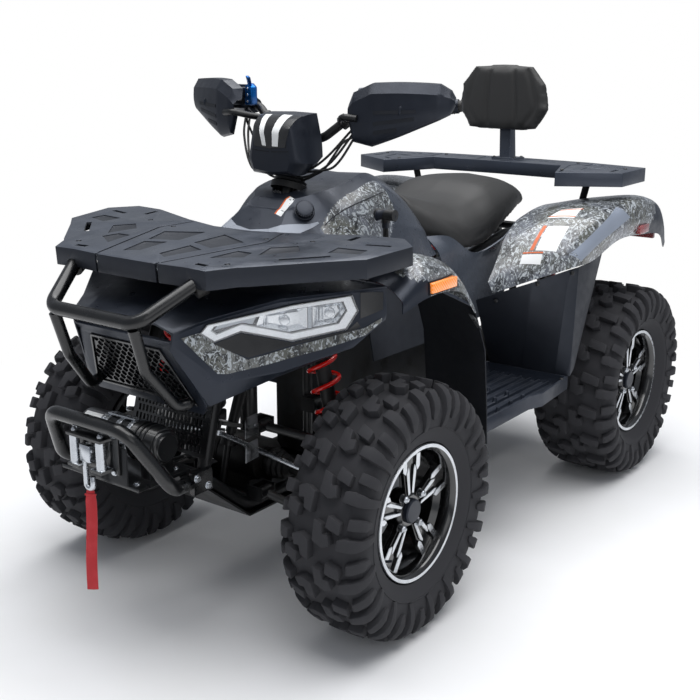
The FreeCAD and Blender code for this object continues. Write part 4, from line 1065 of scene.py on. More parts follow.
@dataclass
class Rim:
    """A cast rim about the X axis: gloss black with machined faces, face towards +X."""

    width: float = 0.164
    flange: float = 0.166
    bead: float = 0.152
    hub: float = 0.046
    setback: float = 0.026
    groups: int = 5
    nuts: int = 4

    def barrel(self) -> Form:
        """The rolled barrel with its drop centre and machined lip."""
        half = self.width / 2
        form = Form()
        form.lathe(
            [(half, self.flange - 0.002), (half - 0.004, self.flange), (half - 0.009, self.flange),
            (half - 0.012, self.bead), (half - 0.034, self.bead - 0.003),
            (half - 0.05, self.bead - 0.014), (0.04 - half, self.bead - 0.014),
            (0.028 - half, self.bead - 0.003), (0.012 - half, self.bead),
            (0.009 - half, self.flange), (-half, self.flange), (-half, self.flange - 0.005),
            (0.004 - half, self.bead - 0.005), (0.03 - half, self.bead - 0.008),
            (0.042 - half, self.bead - 0.019), (half - 0.05, self.bead - 0.019),
            (half - 0.036, self.bead - 0.008), (half - 0.012, self.bead - 0.006),
            (half - 0.006, self.bead - 0.003), (half, self.flange - 0.01),
            (half, self.flange - 0.002)], 120)
        form.mark(1, lambda p, _: p.x > half - 0.0035 and hypot(p.y, p.z) > self.flange - 0.012)
        return form

    def spoke(self) -> Form:
        """One spoke group: a dished black web with two split machined bars."""
        face = self.width / 2 - self.setback
        reach = self.bead - 0.007
        form = Form()
        form.plate(
            [(face - 0.022, -0.012, 0.03), (face - 0.022, 0.012, 0.03),
            (face - 0.022, 0.034, reach), (face - 0.022, -0.034, reach)], (0.016, 0, 0),
            edge=0.002, rounds=2)
        for side in (1, -1):
            inner = [
                (side * 0.0035, 0.044), (side * 0.0105, 0.04), (side * 0.0195, 0.096),
                (side * 0.0135, 0.112), (side * 0.0095, 0.104)]
            outer = [
                (side * 0.0185, 0.106), (side * 0.0235, 0.094), (side * 0.0335, 0.102),
                (side * 0.0355, reach), (side * 0.0215, reach)]
            for line in (inner, outer):
                form.plate([(face - 0.008, y, z) for y, z in line], (0.008, 0, 0), edge=0.0012)
        form.mark(1, lambda p, _: p.x > face - 0.0009)
        return form

    def centre(self) -> Form:
        """The hub with its cap, and the wheel nuts round it."""
        face = self.width / 2 - self.setback
        form = Form()
        form.lathe(
            [(face - 0.046, 0), (face - 0.046, self.hub), (face - 0.014, self.hub),
            (face - 0.006, self.hub - 0.004), (face - 0.002, 0.036), (face - 0.002, 0.03),
            (face + 0.006, 0.029), (face + 0.009, 0.026), (face + 0.01, 0)], 64)
        form.mark(2, lambda p, _: p.x > face + 0.001)
        ring = Form()
        ring.rod((face - 0.016, 0, 0.05), (face - 0.004, 0, 0.05), 0.0125, 0.0115, 24, edge=0.001)
        ring.rod((face - 0.004, 0, 0.05), (face + 0.008, 0, 0.05), 0.0095, None, 6, 3, edge=0.0012)
        ring.rod(
            (face + 0.007, 0, 0.05), (face + 0.013, 0, 0.05), 0.0078, 0.0042, 20, 3, edge=0.001)
        ring.repeat(self.nuts, "X", radians(38))
        form.join(ring)
        stem = form.rod(
            (face + 0.002, 0.048, 0.128), (face + 0.016, 0.044, 0.122), 0.0035, 0.003, 12, 2)
        form.turn(stem, Matrix.Rotation(radians(150), 4, "X"))
        return form

    def build(self) -> Form:
        """The whole rim about the X axis."""
        spokes = self.spoke()
        spokes.repeat(self.groups, "X")
        form = self.barrel()
        form.join(spokes)
        form.join(self.centre())
        return form


@dataclass
class Wheels:
    """The four wheels on their axles."""

    axle_height: float = 0.308
    front_y: float = -0.55
    rear_y: float = 0.74
    front_track: float = 0.445
    rear_track: float = 0.419

    def build(self) -> None:
        """Builds each wheel's tyre and rim and sets them on their bodies."""
        sets = (
            ("front", Tyre(), Rim(), self.front_track, self.front_y),
            ("rear", Tyre(width=0.25, rim_width=0.188), Rim(width=0.188), self.rear_track,
            self.rear_y))
        for end, tyre, rim, track, axle in sets:
            tyre_form, rim_form = tyre.build(), rim.build()
            for word, side in (("left", 1), ("right", -1)):
                body = f"wheel_{end}_{word}"
                place = Matrix.Translation((side * track, axle, self.axle_height))
                if side < 0:
                    place = place @ Matrix.Scale(-1, 4, (1, 0, 0))
                tyre_form.finish(
                    f"{end}_{word}_tyre", "tyre_rubber", Coat.TYRE, node=f"tyre_{end}_{word}",
                    body=body, matrix=place, smooth=40)
                rim_form.finish(
                    f"{end}_{word}_rim", "rim_alloy", Coat.GLOSS_BLACK, Coat.MACHINED, Coat.GUARD,
                    Coat.PLATED, node=f"rim_{end}_{word}", body=body, matrix=place, smooth=30)


@dataclass
class Racks:
    """The two moulded racks with rounded edges, their screws and clips."""

    edge: float = 0.0028
    collar: float = 0.0205
    tilt: float = radians(3.7)

    def on_deck(self, x: float, y: float) -> Vector:
        """The front deck's top surface at one place."""
        return Vector((x, y, 0.9 + (y + 0.93) * tan(self.tilt)))

    def front(self) -> None:
        """The front rack, its screws, clips and the collars round the hoop."""
        form = copied("front_rack")
        # Up-facing faces a little below the deck top take the darker copy of the plastic: painted
        # shade in the recesses.
        form.mark(
            1, lambda p, normal: normal.z > 0.9 and 0.0015 < self.on_deck(p.x, p.y).z - p.z
            < 0.006)
        # Faces on the rack's sides take the darker, duller leg-guard plastic: painted shade on the
        # sides.
        form.mark(2, lambda _, normal: abs(normal.z) < 0.35)
        form.soften(form.bm.verts, self.edge, 2)
        form.finish("front_rack_deck", "dark_plastic", Coat.DECK, Coat.POCKET_SHADE, Coat.LEG, smooth=40)
        trim = Form()
        up = (0, -sin(self.tilt), cos(self.tilt))
        for x, y in mm((236, -862), (262, -610), (150, -640), (60, -905)):
            trim.bolt(self.on_deck(x, y) - Vector(up) * 0.004, up, 0.0055)
        trim.plate(
            mm((93.5, -928.5, 884), (98.5, -928.5, 884), (98.5, -928.5, 898), (93.5, -928.5, 898)),
            (0, 0.006, 0), 1, edge=0.0008)
        trim.across()
        trim.finish("front_rack_screws", "frame_black", Coat.STEEL, Coat.PLATED)
        sleeves = Form()
        run = Vector((-0.068, -0.146, -0.0655)).normalized()
        start = Vector((0.201, -0.8945, 0.8612))
        sleeves.rod(
            start, start + run * 0.026, self.collar, self.collar - 0.0015, 40, edge=0.0018,
            rounds=2)
        sleeves.across()
        sleeves.finish("hoop_sleeves", "black_plastic", Coat.BOOT)

    def rear(self) -> None:
        """The rear rack with the backrest post."""
        copied("rear_rack", self.edge).finish(
            "rear_rack_deck", "dark_plastic", Coat.DECK, smooth=40)
        trim = Form()
        for spot in mm(
                (250, 780, 985), (300, 560, 985), (445, 700, 985), (38, 790, 992), (38, 742, 992)):
            trim.bolt(spot, (0, 0, 1), 0.0055)
        trim.across()
        trim.finish("rear_rack_screws", "frame_black", Coat.STEEL)

    def build(self) -> None:
        """Builds both racks."""
        self.front()
        self.rear()


@dataclass
class Lamps:
    """The two headlamps, each in the plane of the nose's cheek."""

    outline: tuple[Pair, ...] = mm(
        (188, 755), (206, 734), (242, 753), (310, 725), (386, 744), (402, 784), (393, 820),
        (311, 806), (198, 774))
    guide_outside: tuple[Pair, ...] = mm(
        (190.5, 756), (206.8, 737), (242, 756), (310, 728), (384, 746.5), (399, 784),
        (390.5, 816.5), (311, 803), (199, 771.5))
    guide_inside: tuple[Pair, ...] = mm(
        (202, 759.5), (210, 750), (242.5, 769), (309.5, 741.5), (374, 756.5), (386, 785),
        (380.5, 807), (310.5, 796.5), (207, 769))
    bowls: tuple[tuple[Pair, ...], ...] = mm(
        ((262, 764), (306, 745.5), (331, 751.5), (331, 797.5), (268, 787.5)),
        ((338, 752.5), (371, 759.5), (383, 785.5), (378, 804), (338, 798.5)))

    @staticmethod
    def at(x: float, z: float, out: float) -> Vector:
        """A point of the left lamp, from its place on the cheek and its distance out."""
        return Vector((x + 0.61 * out, -0.88 + (x - 0.205) / 0.77 - 0.79 * out, z))

    def ring(
            self, form: Form, outside: Sequence[Pair], inside: Sequence[Pair], low: float,
            high: float, index: int) -> None:
        """Adds a closed band between two outlines.

        Args:
            form: The form that takes it.
            outside: The outer outline.
            inside: The inner outline.
            low: Its back's distance out.
            high: Its front's distance out.
            index: Its material slot.
        """
        loops = [
            [form.bm.verts.new(self.at(x, z, out)) for x, z in line]
            for line, out in ((outside, low), (outside, high), (inside, high), (inside, low))]
        for a, b in zip(loops, loops[1:] + loops[:1]):
            for k in range(len(a)):
                form.face((a[k - 1], a[k], b[k], b[k - 1]), index)
        form.soften(sum(loops, []), 0.0014, 2)

    def bowl(self, form: Form, outline: Sequence[Pair]) -> None:
        """Adds one chrome compartment with a ribbed reflector and a projector lens.

        Args:
            form: The form that takes it.
            outline: The compartment's mouth.
        """
        middle = [sum(p[k] for p in outline) / len(outline) for k in (0, 1)]
        mouth = [form.bm.verts.new(self.at(x, z, -0.0035)) for x, z in outline]
        floor = [
            form.bm.verts.new(self.at(mixed(middle[0], x, 0.6), mixed(middle[1], z, 0.6), -0.0165))
            for x, z in outline]
        for k in range(len(outline)):
            form.face((mouth[k - 1], mouth[k], floor[k], floor[k - 1]), 2)
        form.face(floor, 2)
        form.rod(
            self.at(*middle, -0.0165), self.at(*middle, -0.0085), 0.0125, 0.0105, 32, 2, 0.002, 3)
        left = min(p[0] for p in outline)
        for k in range(3):
            x = left + 0.006 + 0.004 * k
            form.plate(
                [self.at(x + wide, middle[1] + tall, -0.014) for wide, tall in mm((0, -15),
                (1.2, -15), (1.2, 15), (0, 15))], Vector((0.61, -0.79, 0)) * 0.005, 2, 0.0004)

    def build(self) -> None:
        """Builds the lamp on the left and its mirror image."""
        out = Vector((0.61, -0.79, 0))
        form = Form()
        form.plate([self.at(x, z, -0.02) for x, z in self.outline], out * 0.0025, 0)
        wall_in = [(mixed(0.3, x, 0.985), mixed(0.772, z, 0.955)) for x, z in self.outline]
        self.ring(form, self.outline, wall_in, -0.0175, 0.003, 0)
        self.ring(form, self.guide_outside, self.guide_inside, -0.011, 0.0012, 1)
        for outline in self.bowls:
            self.bowl(form, outline)
        for line, thick, edge in (
                (mm((206, 758.5), (243, 771.5), (257, 766.5), (263.5, 788), (212, 771.2)), 0.004,
                0.001), (mm((331.8, 750), (337.2, 751), (337.2, 799.5), (331.8, 799)), 0.0075,
                0.0008)):
            form.plate([self.at(x, z, -0.01) for x, z in line], out * thick, 3, edge)
        form.across()
        form.finish(
            "headlamps_inside", "lamp_clear", Coat.GLOSS_BLACK, Coat.LIGHT_GUIDE, Coat.CHROME,
            Coat.LAMP_SILVER, node="headlamps", smooth=30)
        cover = Form()
        cover.plate([self.at(x, z, 0.0032) for x, z in self.outline], out * 0.0018, edge=0.0006)
        cover.across()
        cover.finish("headlamp_covers", "lamp_clear", Coat.COVER, smooth=30)


@dataclass
class Nose:
    """The faceted nose with its printed strip, lamp surrounds and grille."""

    strip_top: tuple[Point, ...] = mm(
        (190.5, -905, 757), (208, -878, 730), (239, -842, 704), (253, -826, 692), (276, -795, 699),
        (313, -746, 714), (353, -692, 726), (413, -615, 745), (436, -584, 765))
    strip_low: tuple[Point, ...] = mm(
        (168, -939, 749), (191, -907, 705), (214, -879, 666), (226, -862, 664), (277, -797, 677),
        (314, -748, 690), (355, -694, 703), (413, -616, 728), (436, -584, 757))

    def build(self) -> None:
        """Builds the nose, then what lies on it."""
        form = copied("nose")
        tree = form.tree()
        form.soften(form.bm.verts, 0.0022, 2)
        form.finish("nose_shell", "black_plastic", Coat.NOSE, smooth=32)
        strip = Form()
        strip.drape(self.strip_top, self.strip_low, tree, (0.79, -0.61, 0), 0.0016, 4, 5)
        strip.across()
        strip.finish("nose_strips", "camo_plastic", Coat.CAMO_FINE)
        trim = Form()
        bezel_top = mm((404, -622, 824), (420, -600, 824), (436, -580, 822))
        bezel_low = mm((404, -622, 766), (420, -600, 775), (434, -580, 784))
        trim.drape(bezel_top, bezel_low, tree, (0.79, -0.61, 0), 0.0016)
        shade_top = mm(
            (206, -878, 731), (242, -832, 750), (310, -744, 722), (386, -645, 741),
            (400, -628, 760))
        shade_low = mm(
            (215, -868, 722), (254, -824, 696), (313, -746, 717), (392, -640, 738),
            (405, -622, 748))
        trim.drape(shade_top, shade_low, tree, (0.79, -0.61, 0), 0.0012)
        trim.across()
        trim.finish("lamp_surrounds", "black_plastic", Coat.GLOSS_BLACK)
        copied("grille").finish("grille_meshes", "black_plastic", Coat.GRILLE, smooth=30)
        frame_rim = Form()
        corners = mm((112, 0), (165, -145), (-165, -145), (-112, 0))
        tilt = Matrix.Translation((0, -0.947, 0.719)) @ Matrix.Rotation(radians(23), 4, "X")
        for (x0, z0), (x1, z1) in zip(corners, corners[1:] + corners[:1]):
            run = Vector((x1 - x0, 0, z1 - z0)).normalized()
            inward = Vector((-run.z, 0, run.x))
            if inward.dot(Vector((-(x0 + x1) / 2, 0, -0.075 - (z0 + z1) / 2))) < 0:
                inward.negate()
            a, b = Vector((x0, -0.0035, z0)), Vector((x1, -0.0035, z1))
            frame_rim.plate(
                [a + inward * 0.0006, b + inward * 0.0006, b + inward * 0.007 - run * 0.004,
                a + inward * 0.007 + run * 0.004], (0, 0.0032, 0), edge=0.0009)
        frame_rim.turn(frame_rim.bm.verts[:], tilt)
        frame_rim.finish("grille_frame", "black_plastic", Coat.GRILLE)


@dataclass
class Fenders:
    """The fender skins, smoothed between the CAD model's stations."""

    front_rows: tuple = mm(
        (-574.5, ((486, 778), (482, 806), (430, 838), (340.5, 843))),
        (-520, ((500, 800), (492, 844), (442, 872), (340, 870))),
        (-470, ((503, 806), (494, 852), (446, 887), (332, 886))),
        (-420, ((502, 804), (491, 850), (446, 880), (328, 878))),
        (-370, ((500, 796), (488, 834), (444, 864), (320, 862))),
        (-325, ((496, 778), (484, 808), (442, 838), (314, 842))),
        (-263, ((490, 723), (482, 739), (438, 759), (306, 787))))
    rear_rows: tuple = mm(
        (190, ((282, 662), (279, 670), (275, 678), (270, 686), (265, 694))),
        (230, ((382, 706), (368, 722), (340, 733), (300, 739), (264, 738))),
        (300, ((478, 744), (470, 776), (430, 810), (350, 822), (258, 812))),
        (406, ((486, 748), (496, 808), (474, 860), (370, 876), (248, 852))),
        (560, ((498, 790), (508, 838), (490, 890), (370, 897), (240, 872))),
        (740, ((500, 784), (510, 838), (488, 898), (370, 892), (240, 862))),
        (900, ((494, 762), (500, 806), (478, 856), (360, 868), (236, 852))),
        (1070, ((448, 692), (450, 715), (430, 745), (330, 765), (216, 770))))

    def front(self) -> None:
        """The front fenders: printed behind, plain dark plastic ahead of the marker."""
        form = Form()
        form.shell(
            stations(self.front_rows), 0.004, 8, 7, pick=lambda p: 1 if p.y < -0.492 and p.z
            < 0.869 - (p.x - 0.42) * 0.35 else 0)
        tree = form.tree()
        form.across()
        form.finish(
            "front_fender_skins", "camo_plastic", Coat.CAMO, Coat.NOSE, node="front_fenders",
            smooth=50)
        marks = copied("marker_lamps")
        marks.mark(1, lambda p, _: p.y > -0.2)
        marks.soften(marks.bm.verts, 0.002, 2)
        marks.finish("marker_lenses", "lens_colour", Coat.AMBER, Coat.RED)
        base = Form()
        base.drape(
            mm((490, -496, 839.5), (490, -384, 839.5)), mm((490, -496, 808.5), (490, -384, 808.5)),
            tree, (1, 0, 0), 0.0022, 10, 4)
        base.across()
        base.finish("marker_bases", "black_plastic", Coat.LINER)

    def rear(self) -> None:
        """The rear fenders with their tail extensions and plain trim patches."""
        form = Form()
        form.shell(
            stations(self.rear_rows), 0.004, 8, 6, pick=lambda p: 1 if p.y > 0.8 + (p.z - 0.83)
            * 0.9 else 0)
        form.bm.normal_update()
        tree = form.tree()
        form.across()
        form.finish(
            "rear_fender_skins", "camo_plastic", Coat.CAMO, Coat.PANEL, node="rear_fenders",
            smooth=50)
        aim = (0.25, -0.45, 0.86)
        patches = Form()
        white = (
            (mm((366, 436, 879), (416, 470, 880)), mm((349, 376, 858), (425, 397, 863))),
            (mm((372, 340, 842), (429, 359, 842)), mm((370, 271, 780), (428, 285, 780))),
            (mm((337, 257, 768), (394, 269, 773)), mm((338, 240, 745), (396, 254, 746))))
        for top, low in white:
            patches.drape(top, low, tree, aim, 0.0006, 8, 8)
        orange = (
            (mm((366, 432, 878), (421, 466, 879)), mm((365, 427, 877), (422, 461, 878))),
            (mm((352, 388, 862), (424, 408, 867)), mm((351, 383, 860), (424, 403, 865))),
            (mm((358, 340, 842), (368, 342, 842)), mm((354, 268, 780), (364, 270, 780))),
            (mm((337, 261, 774), (394, 273, 779)), mm((337, 259, 770), (394, 271, 775))))
        for top, low in orange:
            patches.drape(top, low, tree, aim, 0.0009, 8, 3, 1)
        patches.across()
        patches.finish("fender_patches", "camo_plastic", Coat.LABEL, Coat.LABEL_ORANGE)
        band = Form()
        band.drape(
            mm((462, 296, 780), (488, 420, 842), (486, 548, 889)),
            mm((478, 330, 756), (497, 440, 805), (506, 610, 852)), tree, (0.9, -0.25, 0.36),
            0.0006, 8, 6)
        band.across()
        band.finish("fender_bands", "camo_plastic", Coat.BAND)

    def build(self) -> None:
        """Builds both pairs and the mud flaps behind the front ones."""
        self.front()
        self.rear()
        copied("mud_flaps", 0.0012, 1).finish("mud_flap_sheets", "black_plastic", Coat.LINER)
        trim = Form()
        trim.plate(
            mm((474, -270, 715), (488, -270, 713), (490, -230, 672), (476, -230, 674)),
            (0, -0.004, 0.006), 1, edge=0.0008)
        trim.bolt((0.482, -0.256, 0.704), (0, -0.6, 0.8), 0.005)
        trim.across()
        trim.finish("flap_brackets", "silver_metal", Coat.STEEL, Coat.CASTING)


SEAM = mm((150, -418, 934), (150, -385, 950), (151, -320, 966), (149, -250, 975), (147, -184, 985))
PRINT_EDGE = mm(
    (-428, 945), (-320, 1000), (-190, 1040), (-166, 985), (-160, 929), (-205, 876), (-280, 790),
    (-433, 790))


@dataclass
class Tank:
    """The tank cover: a dark faceted console over printed sides."""

    rows: tuple = mm(
        (-560, ((0, 884), (100, 880), (140, 868), (156, 856), (150, 846))),
        (-442, ((0, 985), (60, 985), (129, 916), (170, 880), (190, 850))),
        (-393, ((0, 1003), (96, 997), (140, 950), (180, 890), (205, 820))),
        (-300, ((0, 1012), (110, 1008), (155, 965), (190, 900), (212, 815))),
        (-184, ((0, 1022), (92, 1026), (150, 985), (190, 900), (212, 802))),
        (-100, ((0, 1000), (88, 1000), (150, 955), (192, 880), (212, 800))),
        (-20, ((0, 965), (80, 960), (130, 920), (180, 860), (205, 792))),
        (29.5, ((0, 930), (70, 925), (110, 890), (150, 840), (190, 790))))
    hole: float = 0.037

    @staticmethod
    def finish_at(p: Vector) -> int:
        """The finish at a place: 0 dark top, 1 printed side, 2 plain side.

        Args:
            p: A place on the cover.

        Returns:
            The slot.
        """
        side = abs(p.x)
        ridge = mixed(0.142, 0.124, min(max((p.y + 0.42) / 0.24, 0), 1))
        if side < ridge and p.z > 0.86 or p.y < -0.433:
            return 0
        edges = zip(PRINT_EDGE, PRINT_EDGE[1:] + PRINT_EDGE[:1])
        crossed = sum(
            1 for (y0, z0), (y1, z1) in edges if (z0 > p.z) != (z1 > p.z) and p.y < mixed(y0, y1,
            (p.z - z0) / (z1 - z0)))
        return 1 if crossed % 2 else 2

    def build(self) -> None:
        """Builds the cover with its hole for the column, the cap, the seams and the patch."""
        form = Form()
        form.shell(
            both_halves(stations(self.rows)), 0.004, 18, 14, folds=(1, 3, 4, 5, 7), ends=(1,),
            pick=self.finish_at)
        lean = tan(radians(22))
        away = []
        for face in form.bm.faces:
            p = face.calc_center_median()
            centre_y = CLAMP.y + (p.z - CLAMP.z) * lean
            if hypot(p.x, (p.y - centre_y) * cos(radians(22))) < self.hole:
                away.append(face)
        bmesh.ops.delete(form.bm, geom=away, context="FACES")
        for vert in form.bm.verts:
            p = vert.co
            near = hypot(p.x, p.y - CLAMP.y - (p.z - CLAMP.z) * lean)
            if p.z > 0.96:
                p.z -= 0.005 * min(max((0.12 - near) / 0.03, 0), 1)
        tree = form.tree()
        form.finish(
            "tank_shell", "black_plastic", Coat.NOSE, Coat.CAMO, Coat.SIDE, node="tank_cover",
            smooth=28)
        trim = Form()
        cap_at, cap_out = Vector((0.097, -0.437, 0.952)), Vector((0.59, -0.55, 0.59)).normalized()
        trim.rod(
            cap_at - cap_out * 0.006, cap_at + cap_out * 0.008, 0.0265, 0.0255, 48, edge=0.0015,
            rounds=2)
        trim.rod(
            cap_at + cap_out * 0.008, cap_at + cap_out * 0.022, 0.0225, 0.0205, 48, edge=0.002,
            rounds=2)
        side = cap_out.cross(Vector((0, 0, 1))).normalized()
        for k in range(24):
            spoke = (side * cos(tau * k / 24) + cap_out.cross(side) * sin(tau * k / 24)) * 0.0218
            trim.rod(
                cap_at + spoke + cap_out * 0.009, cap_at + spoke + cap_out * 0.0205, 0.0014, None,
                8, edge=0.0003)
        trim.finish("filler_cap", "black_plastic", Coat.GUARD)
        patch = Form()
        patch.drape(
            mm((51, -520, 916), (114, -455, 926), (131, -425, 929)),
            mm((70, -535, 903), (116, -514, 900), (133, -423, 924)), tree, (0.45, -0.75, 0.48),
            0.001, 8, 6, 2)
        patch.drape(
            mm((0, -534, 914), (51, -520, 916)), mm((0, -548, 900), (70, -535, 903)), tree,
            (0.1, -0.75, 0.48), 0.001, 8, 6, 2)
        patch.across()
        patch.drape(
            mm((46, -430, 988), (66, -434, 980)), mm((46, -484, 948), (66, -487, 942)), tree,
            (0.2, -0.66, 0.75), 0.0006, 4, 10)
        patch.drape(
            mm((41.5, -430, 988), (46, -430, 988)), mm((41.5, -484, 948), (46, -484, 948)), tree,
            (0.1, -0.66, 0.75), 0.0007, 4, 10, 1)
        patch.finish("tank_patch", "black_plastic", Coat.LABEL, Coat.LABEL_ORANGE, Coat.PALE)
        seam = Form()
        for sign in (1, -1):
            flip = Vector((sign, 1, 1))
            seam.line(
                [tree.ray_cast(Vector((x + 0.1, y, z + 0.06)) * flip, Vector((-0.82, 0, -0.57))
                * flip)[0] for x, y, z in SEAM], 0.0016, 6, 8)
        seam.finish("tank_seams", "black_plastic", Coat.LINER)
        boot = Form()
        top_z = 1.004
        centre = Vector((0, CLAMP.y + (top_z - CLAMP.z) * lean, top_z))
        up = Vector((0, lean, 1)).normalized()
        rings = mm((46, -12), (46, 4), (40, 8), (43, 13), (35, 17), (37.5, 22), (29, 27), (29, 20))
        turn = up.to_track_quat("X", "Y").to_matrix().to_4x4()
        sleeve = boot.lathe([(h, r) for r, h in rings], 48)
        boot.turn(sleeve, Matrix.Translation(centre) @ turn)
        boot.finish("column_boot", "cable_rubber", Coat.BOOT)


@dataclass
class Saddle:
    """The seat and the backrest pad: foam under vinyl, swelled as cloth."""

    rows: tuple = mm(
        (33, ((0, 955), (56, 951), (89, 929), (105, 893), (101, 856), (0, 852))),
        (96, ((0, 929), (84, 923), (138, 894), (160, 850), (153, 806), (0, 806))),
        (187, ((0, 909), (104, 901), (168, 874), (198, 830), (188, 784), (0, 786))),
        (278, ((0, 918), (114, 910), (172, 883), (199, 839), (190, 783), (0, 786))),
        (369, ((0, 951), (119, 941), (171, 912), (197, 870), (188, 806), (0, 806))),
        (506, ((0, 955), (114, 943), (158, 917), (178, 882), (168, 846), (0, 846))),
        (622, ((0, 927), (85, 923), (129, 901), (143, 878), (133, 864), (0, 864))))
    pad_rows: tuple = mm(
        (-34, ((0, 113), (97, 109), (143, 54), (157, -22), (114, -84), (0, -88))),
        (-22, ((0, 117), (104, 113), (152, 56), (166, -22), (121, -88), (0, -92))),
        (-2, ((0, 110), (92, 106), (138, 52), (152, -22), (111, -81), (0, -85))))
    pad_height: float = 1.175
    voxel: float = 0.006

    def swell(
            self, piece: bpy.types.Object, cap: float, pressure: float, hold: Callable[[Vector],
            float]) -> None:
        """Blows a closed form up a little as sewn cloth round foam.

        Args:
            piece: The closed form; its mesh is swelled.
            cap: The most that a point may move.
            pressure: The pressure inside.
            hold: How firmly a place is held, from 0 to 1.
        """
        remesh = piece.modifiers.new("even", "REMESH")
        remesh.mode = "VOXEL"
        remesh.voxel_size = self.voxel
        self.applied(piece)
        start = [v.co.copy() for v in piece.data.vertices]
        held = piece.vertex_groups.new(name="held")
        for vert in piece.data.vertices:
            held.add([vert.index], hold(vert.co), "REPLACE")
        cloth = piece.modifiers.new("cloth", "CLOTH")
        for key, value in {
                "use_pressure": True, "uniform_pressure_force": pressure, "mass": 0.4,
                "tension_stiffness": 25, "compression_stiffness": 25, "shear_stiffness": 12,
                "bending_stiffness": 4, "vertex_group_mass": "held"}.items():
            setattr(cloth.settings, key, value)
        cloth.settings.effector_weights.gravity = 0
        cloth.collision_settings.use_collision = False
        for frame_number in range(1, 21):
            bpy.context.scene.frame_set(frame_number)
        self.applied(piece)
        for vert, before in zip(piece.data.vertices, start):
            moved = vert.co - before
            if moved.length > cap:
                vert.co = before + moved * (cap / moved.length)
        bpy.context.scene.frame_set(1)
        smooth = piece.modifiers.new("smooth", "LAPLACIANSMOOTH")
        smooth.iterations = 6
        smooth.lambda_factor = 0.6
        self.applied(piece)
        piece.data.shade_smooth()

    @staticmethod
    def applied(piece: bpy.types.Object) -> None:
        """Fixes what the piece's modifiers make into its mesh.

        Args:
            piece: The piece, which keeps none of them.
        """
        depsgraph = bpy.context.evaluated_depsgraph_get()
        made = bpy.data.meshes.new_from_object(piece.evaluated_get(depsgraph))
        old = piece.data
        piece.modifiers.clear()
        piece.data = made
        bpy.data.meshes.remove(old)

    def crease(
            self, piece: bpy.types.Object, lines: Sequence[Sequence[Point]], width: float,
            depth: float) -> None:
        """Presses sewn channels into the cover along lines of points.

        Args:
            piece: The piece.
            lines: The points of each channel.
            width: How wide a channel is.
            depth: How deep it is.
        """
        paths = [curve(line, 24) for line in lines]
        chains = [p for path in paths for p in path]
        for vert in piece.data.vertices:
            near = min((vert.co - p).length_squared for p in chains)
            if near < (width * 3) ** 2:
                press = depth * exp(-near / (width * width))
                vert.co -= vert.normal * press

    def seat(self) -> None:
        """The saddle with its folded edge."""
        form = Form()
        form.hull(around(self.rows), 8, 6, folds=(4, 5, 6))
        seat = form.finish("saddle", "seat_vinyl", Coat.SEAT, node="seat")
        self.swell(seat, 0.006, 3, lambda p: 1 if p.z < 0.8 else 0)

    def pad(self) -> None:
        """The backrest pad, faceted under its cover, with stitched seams."""
        form = Form()
        form.hull(
            around(self.pad_rows, 0.74, self.pad_height), 5, 6, folds=(1, 2, 3, 4, 6, 7, 8, 9))
        pad = form.finish("backrest", "seat_vinyl", Coat.SEAT, node="backrest_pad")
        self.swell(pad, 0.005, 3, lambda p: 1 if p.y > 0.735 else 0)
        for line, width, depth in (
                (mm((41, 120), (46, 70), (53, -20), (49, -95)), 0.006, 0.0075),
                (mm((94, 98), (112, 40), (122, -20), (82, -78)), 0.008, 0.0045)):
            self.crease(
                pad, [[(side * x, 0.7, self.pad_height + z) for x, z in line] for side in (1, -1)],
                width, depth)

    def build(self) -> None:
        """Builds the seat and the pad."""
        self.seat()
        self.pad()


@dataclass
class Sides:
    """The side panels, leg guards and footwells with rounded edges and their screws."""

    panel_front: tuple = mm(
        (-300, ((215, 560), (200, 640), (190, 780))), (30.5, ((222, 560), (212, 640), (202, 784))))
    panel_rear: tuple = mm(
        (30.9, ((222, 560), (212, 640), (202, 784), (152, 836))),
        (100, ((225, 560), (215, 640), (205, 780), (185, 830))),
        (200, ((230, 580), (221, 660), (216, 750), (214, 772))),
        (300, ((235, 600), (228, 690), (226, 770), (248, 803))),
        (406, ((232, 690), (228, 770), (228, 820), (240, 843))),
        (555, ((228, 790), (226, 825), (226, 848), (233, 864))))

    def build(self) -> None:
        """Builds the panels, then their screws."""
        panels = Form()
        panels.shell(stations(self.panel_front), 0.004, 8, 5, pick=lambda p: 1)
        panels.shell(stations(self.panel_rear), 0.004, 7, 5)
        for y, z in mm((-280, 701), (120, 690)):
            panels.rod((0.1263, y, z), (0.207, y, z), 0.008)
        panels.across()
        panels.finish(
            "side_panel_skins", "dark_plastic", Coat.SIDE, Coat.LEG, node="side_panels", smooth=40)
        copied("leg_guards", 0.0016).finish(
            "leg_guard_panels", "black_plastic", Coat.LEG, smooth=24)
        copied("footwells", 0.002, 1).finish(
            "footwell_trays", "black_plastic", Coat.PANEL, smooth=40)
        trim = Form()
        for at, facing in (
                ((0.29, 0.196, 0.64), (0.5, -0.8, -0.3)), ((0.396, 0.2445, 0.695),
                (0.62, -0.74, -0.26)), ((0.4735, 0.304, 0.727), (0.9, -0.42, 0)),
                ((0.478, 0.262, 0.4235), (0, 0, 1))):
            trim.bolt(at, facing, 0.0062)
        trim.across()
        trim.finish("side_screws", "frame_black", Coat.STEEL)


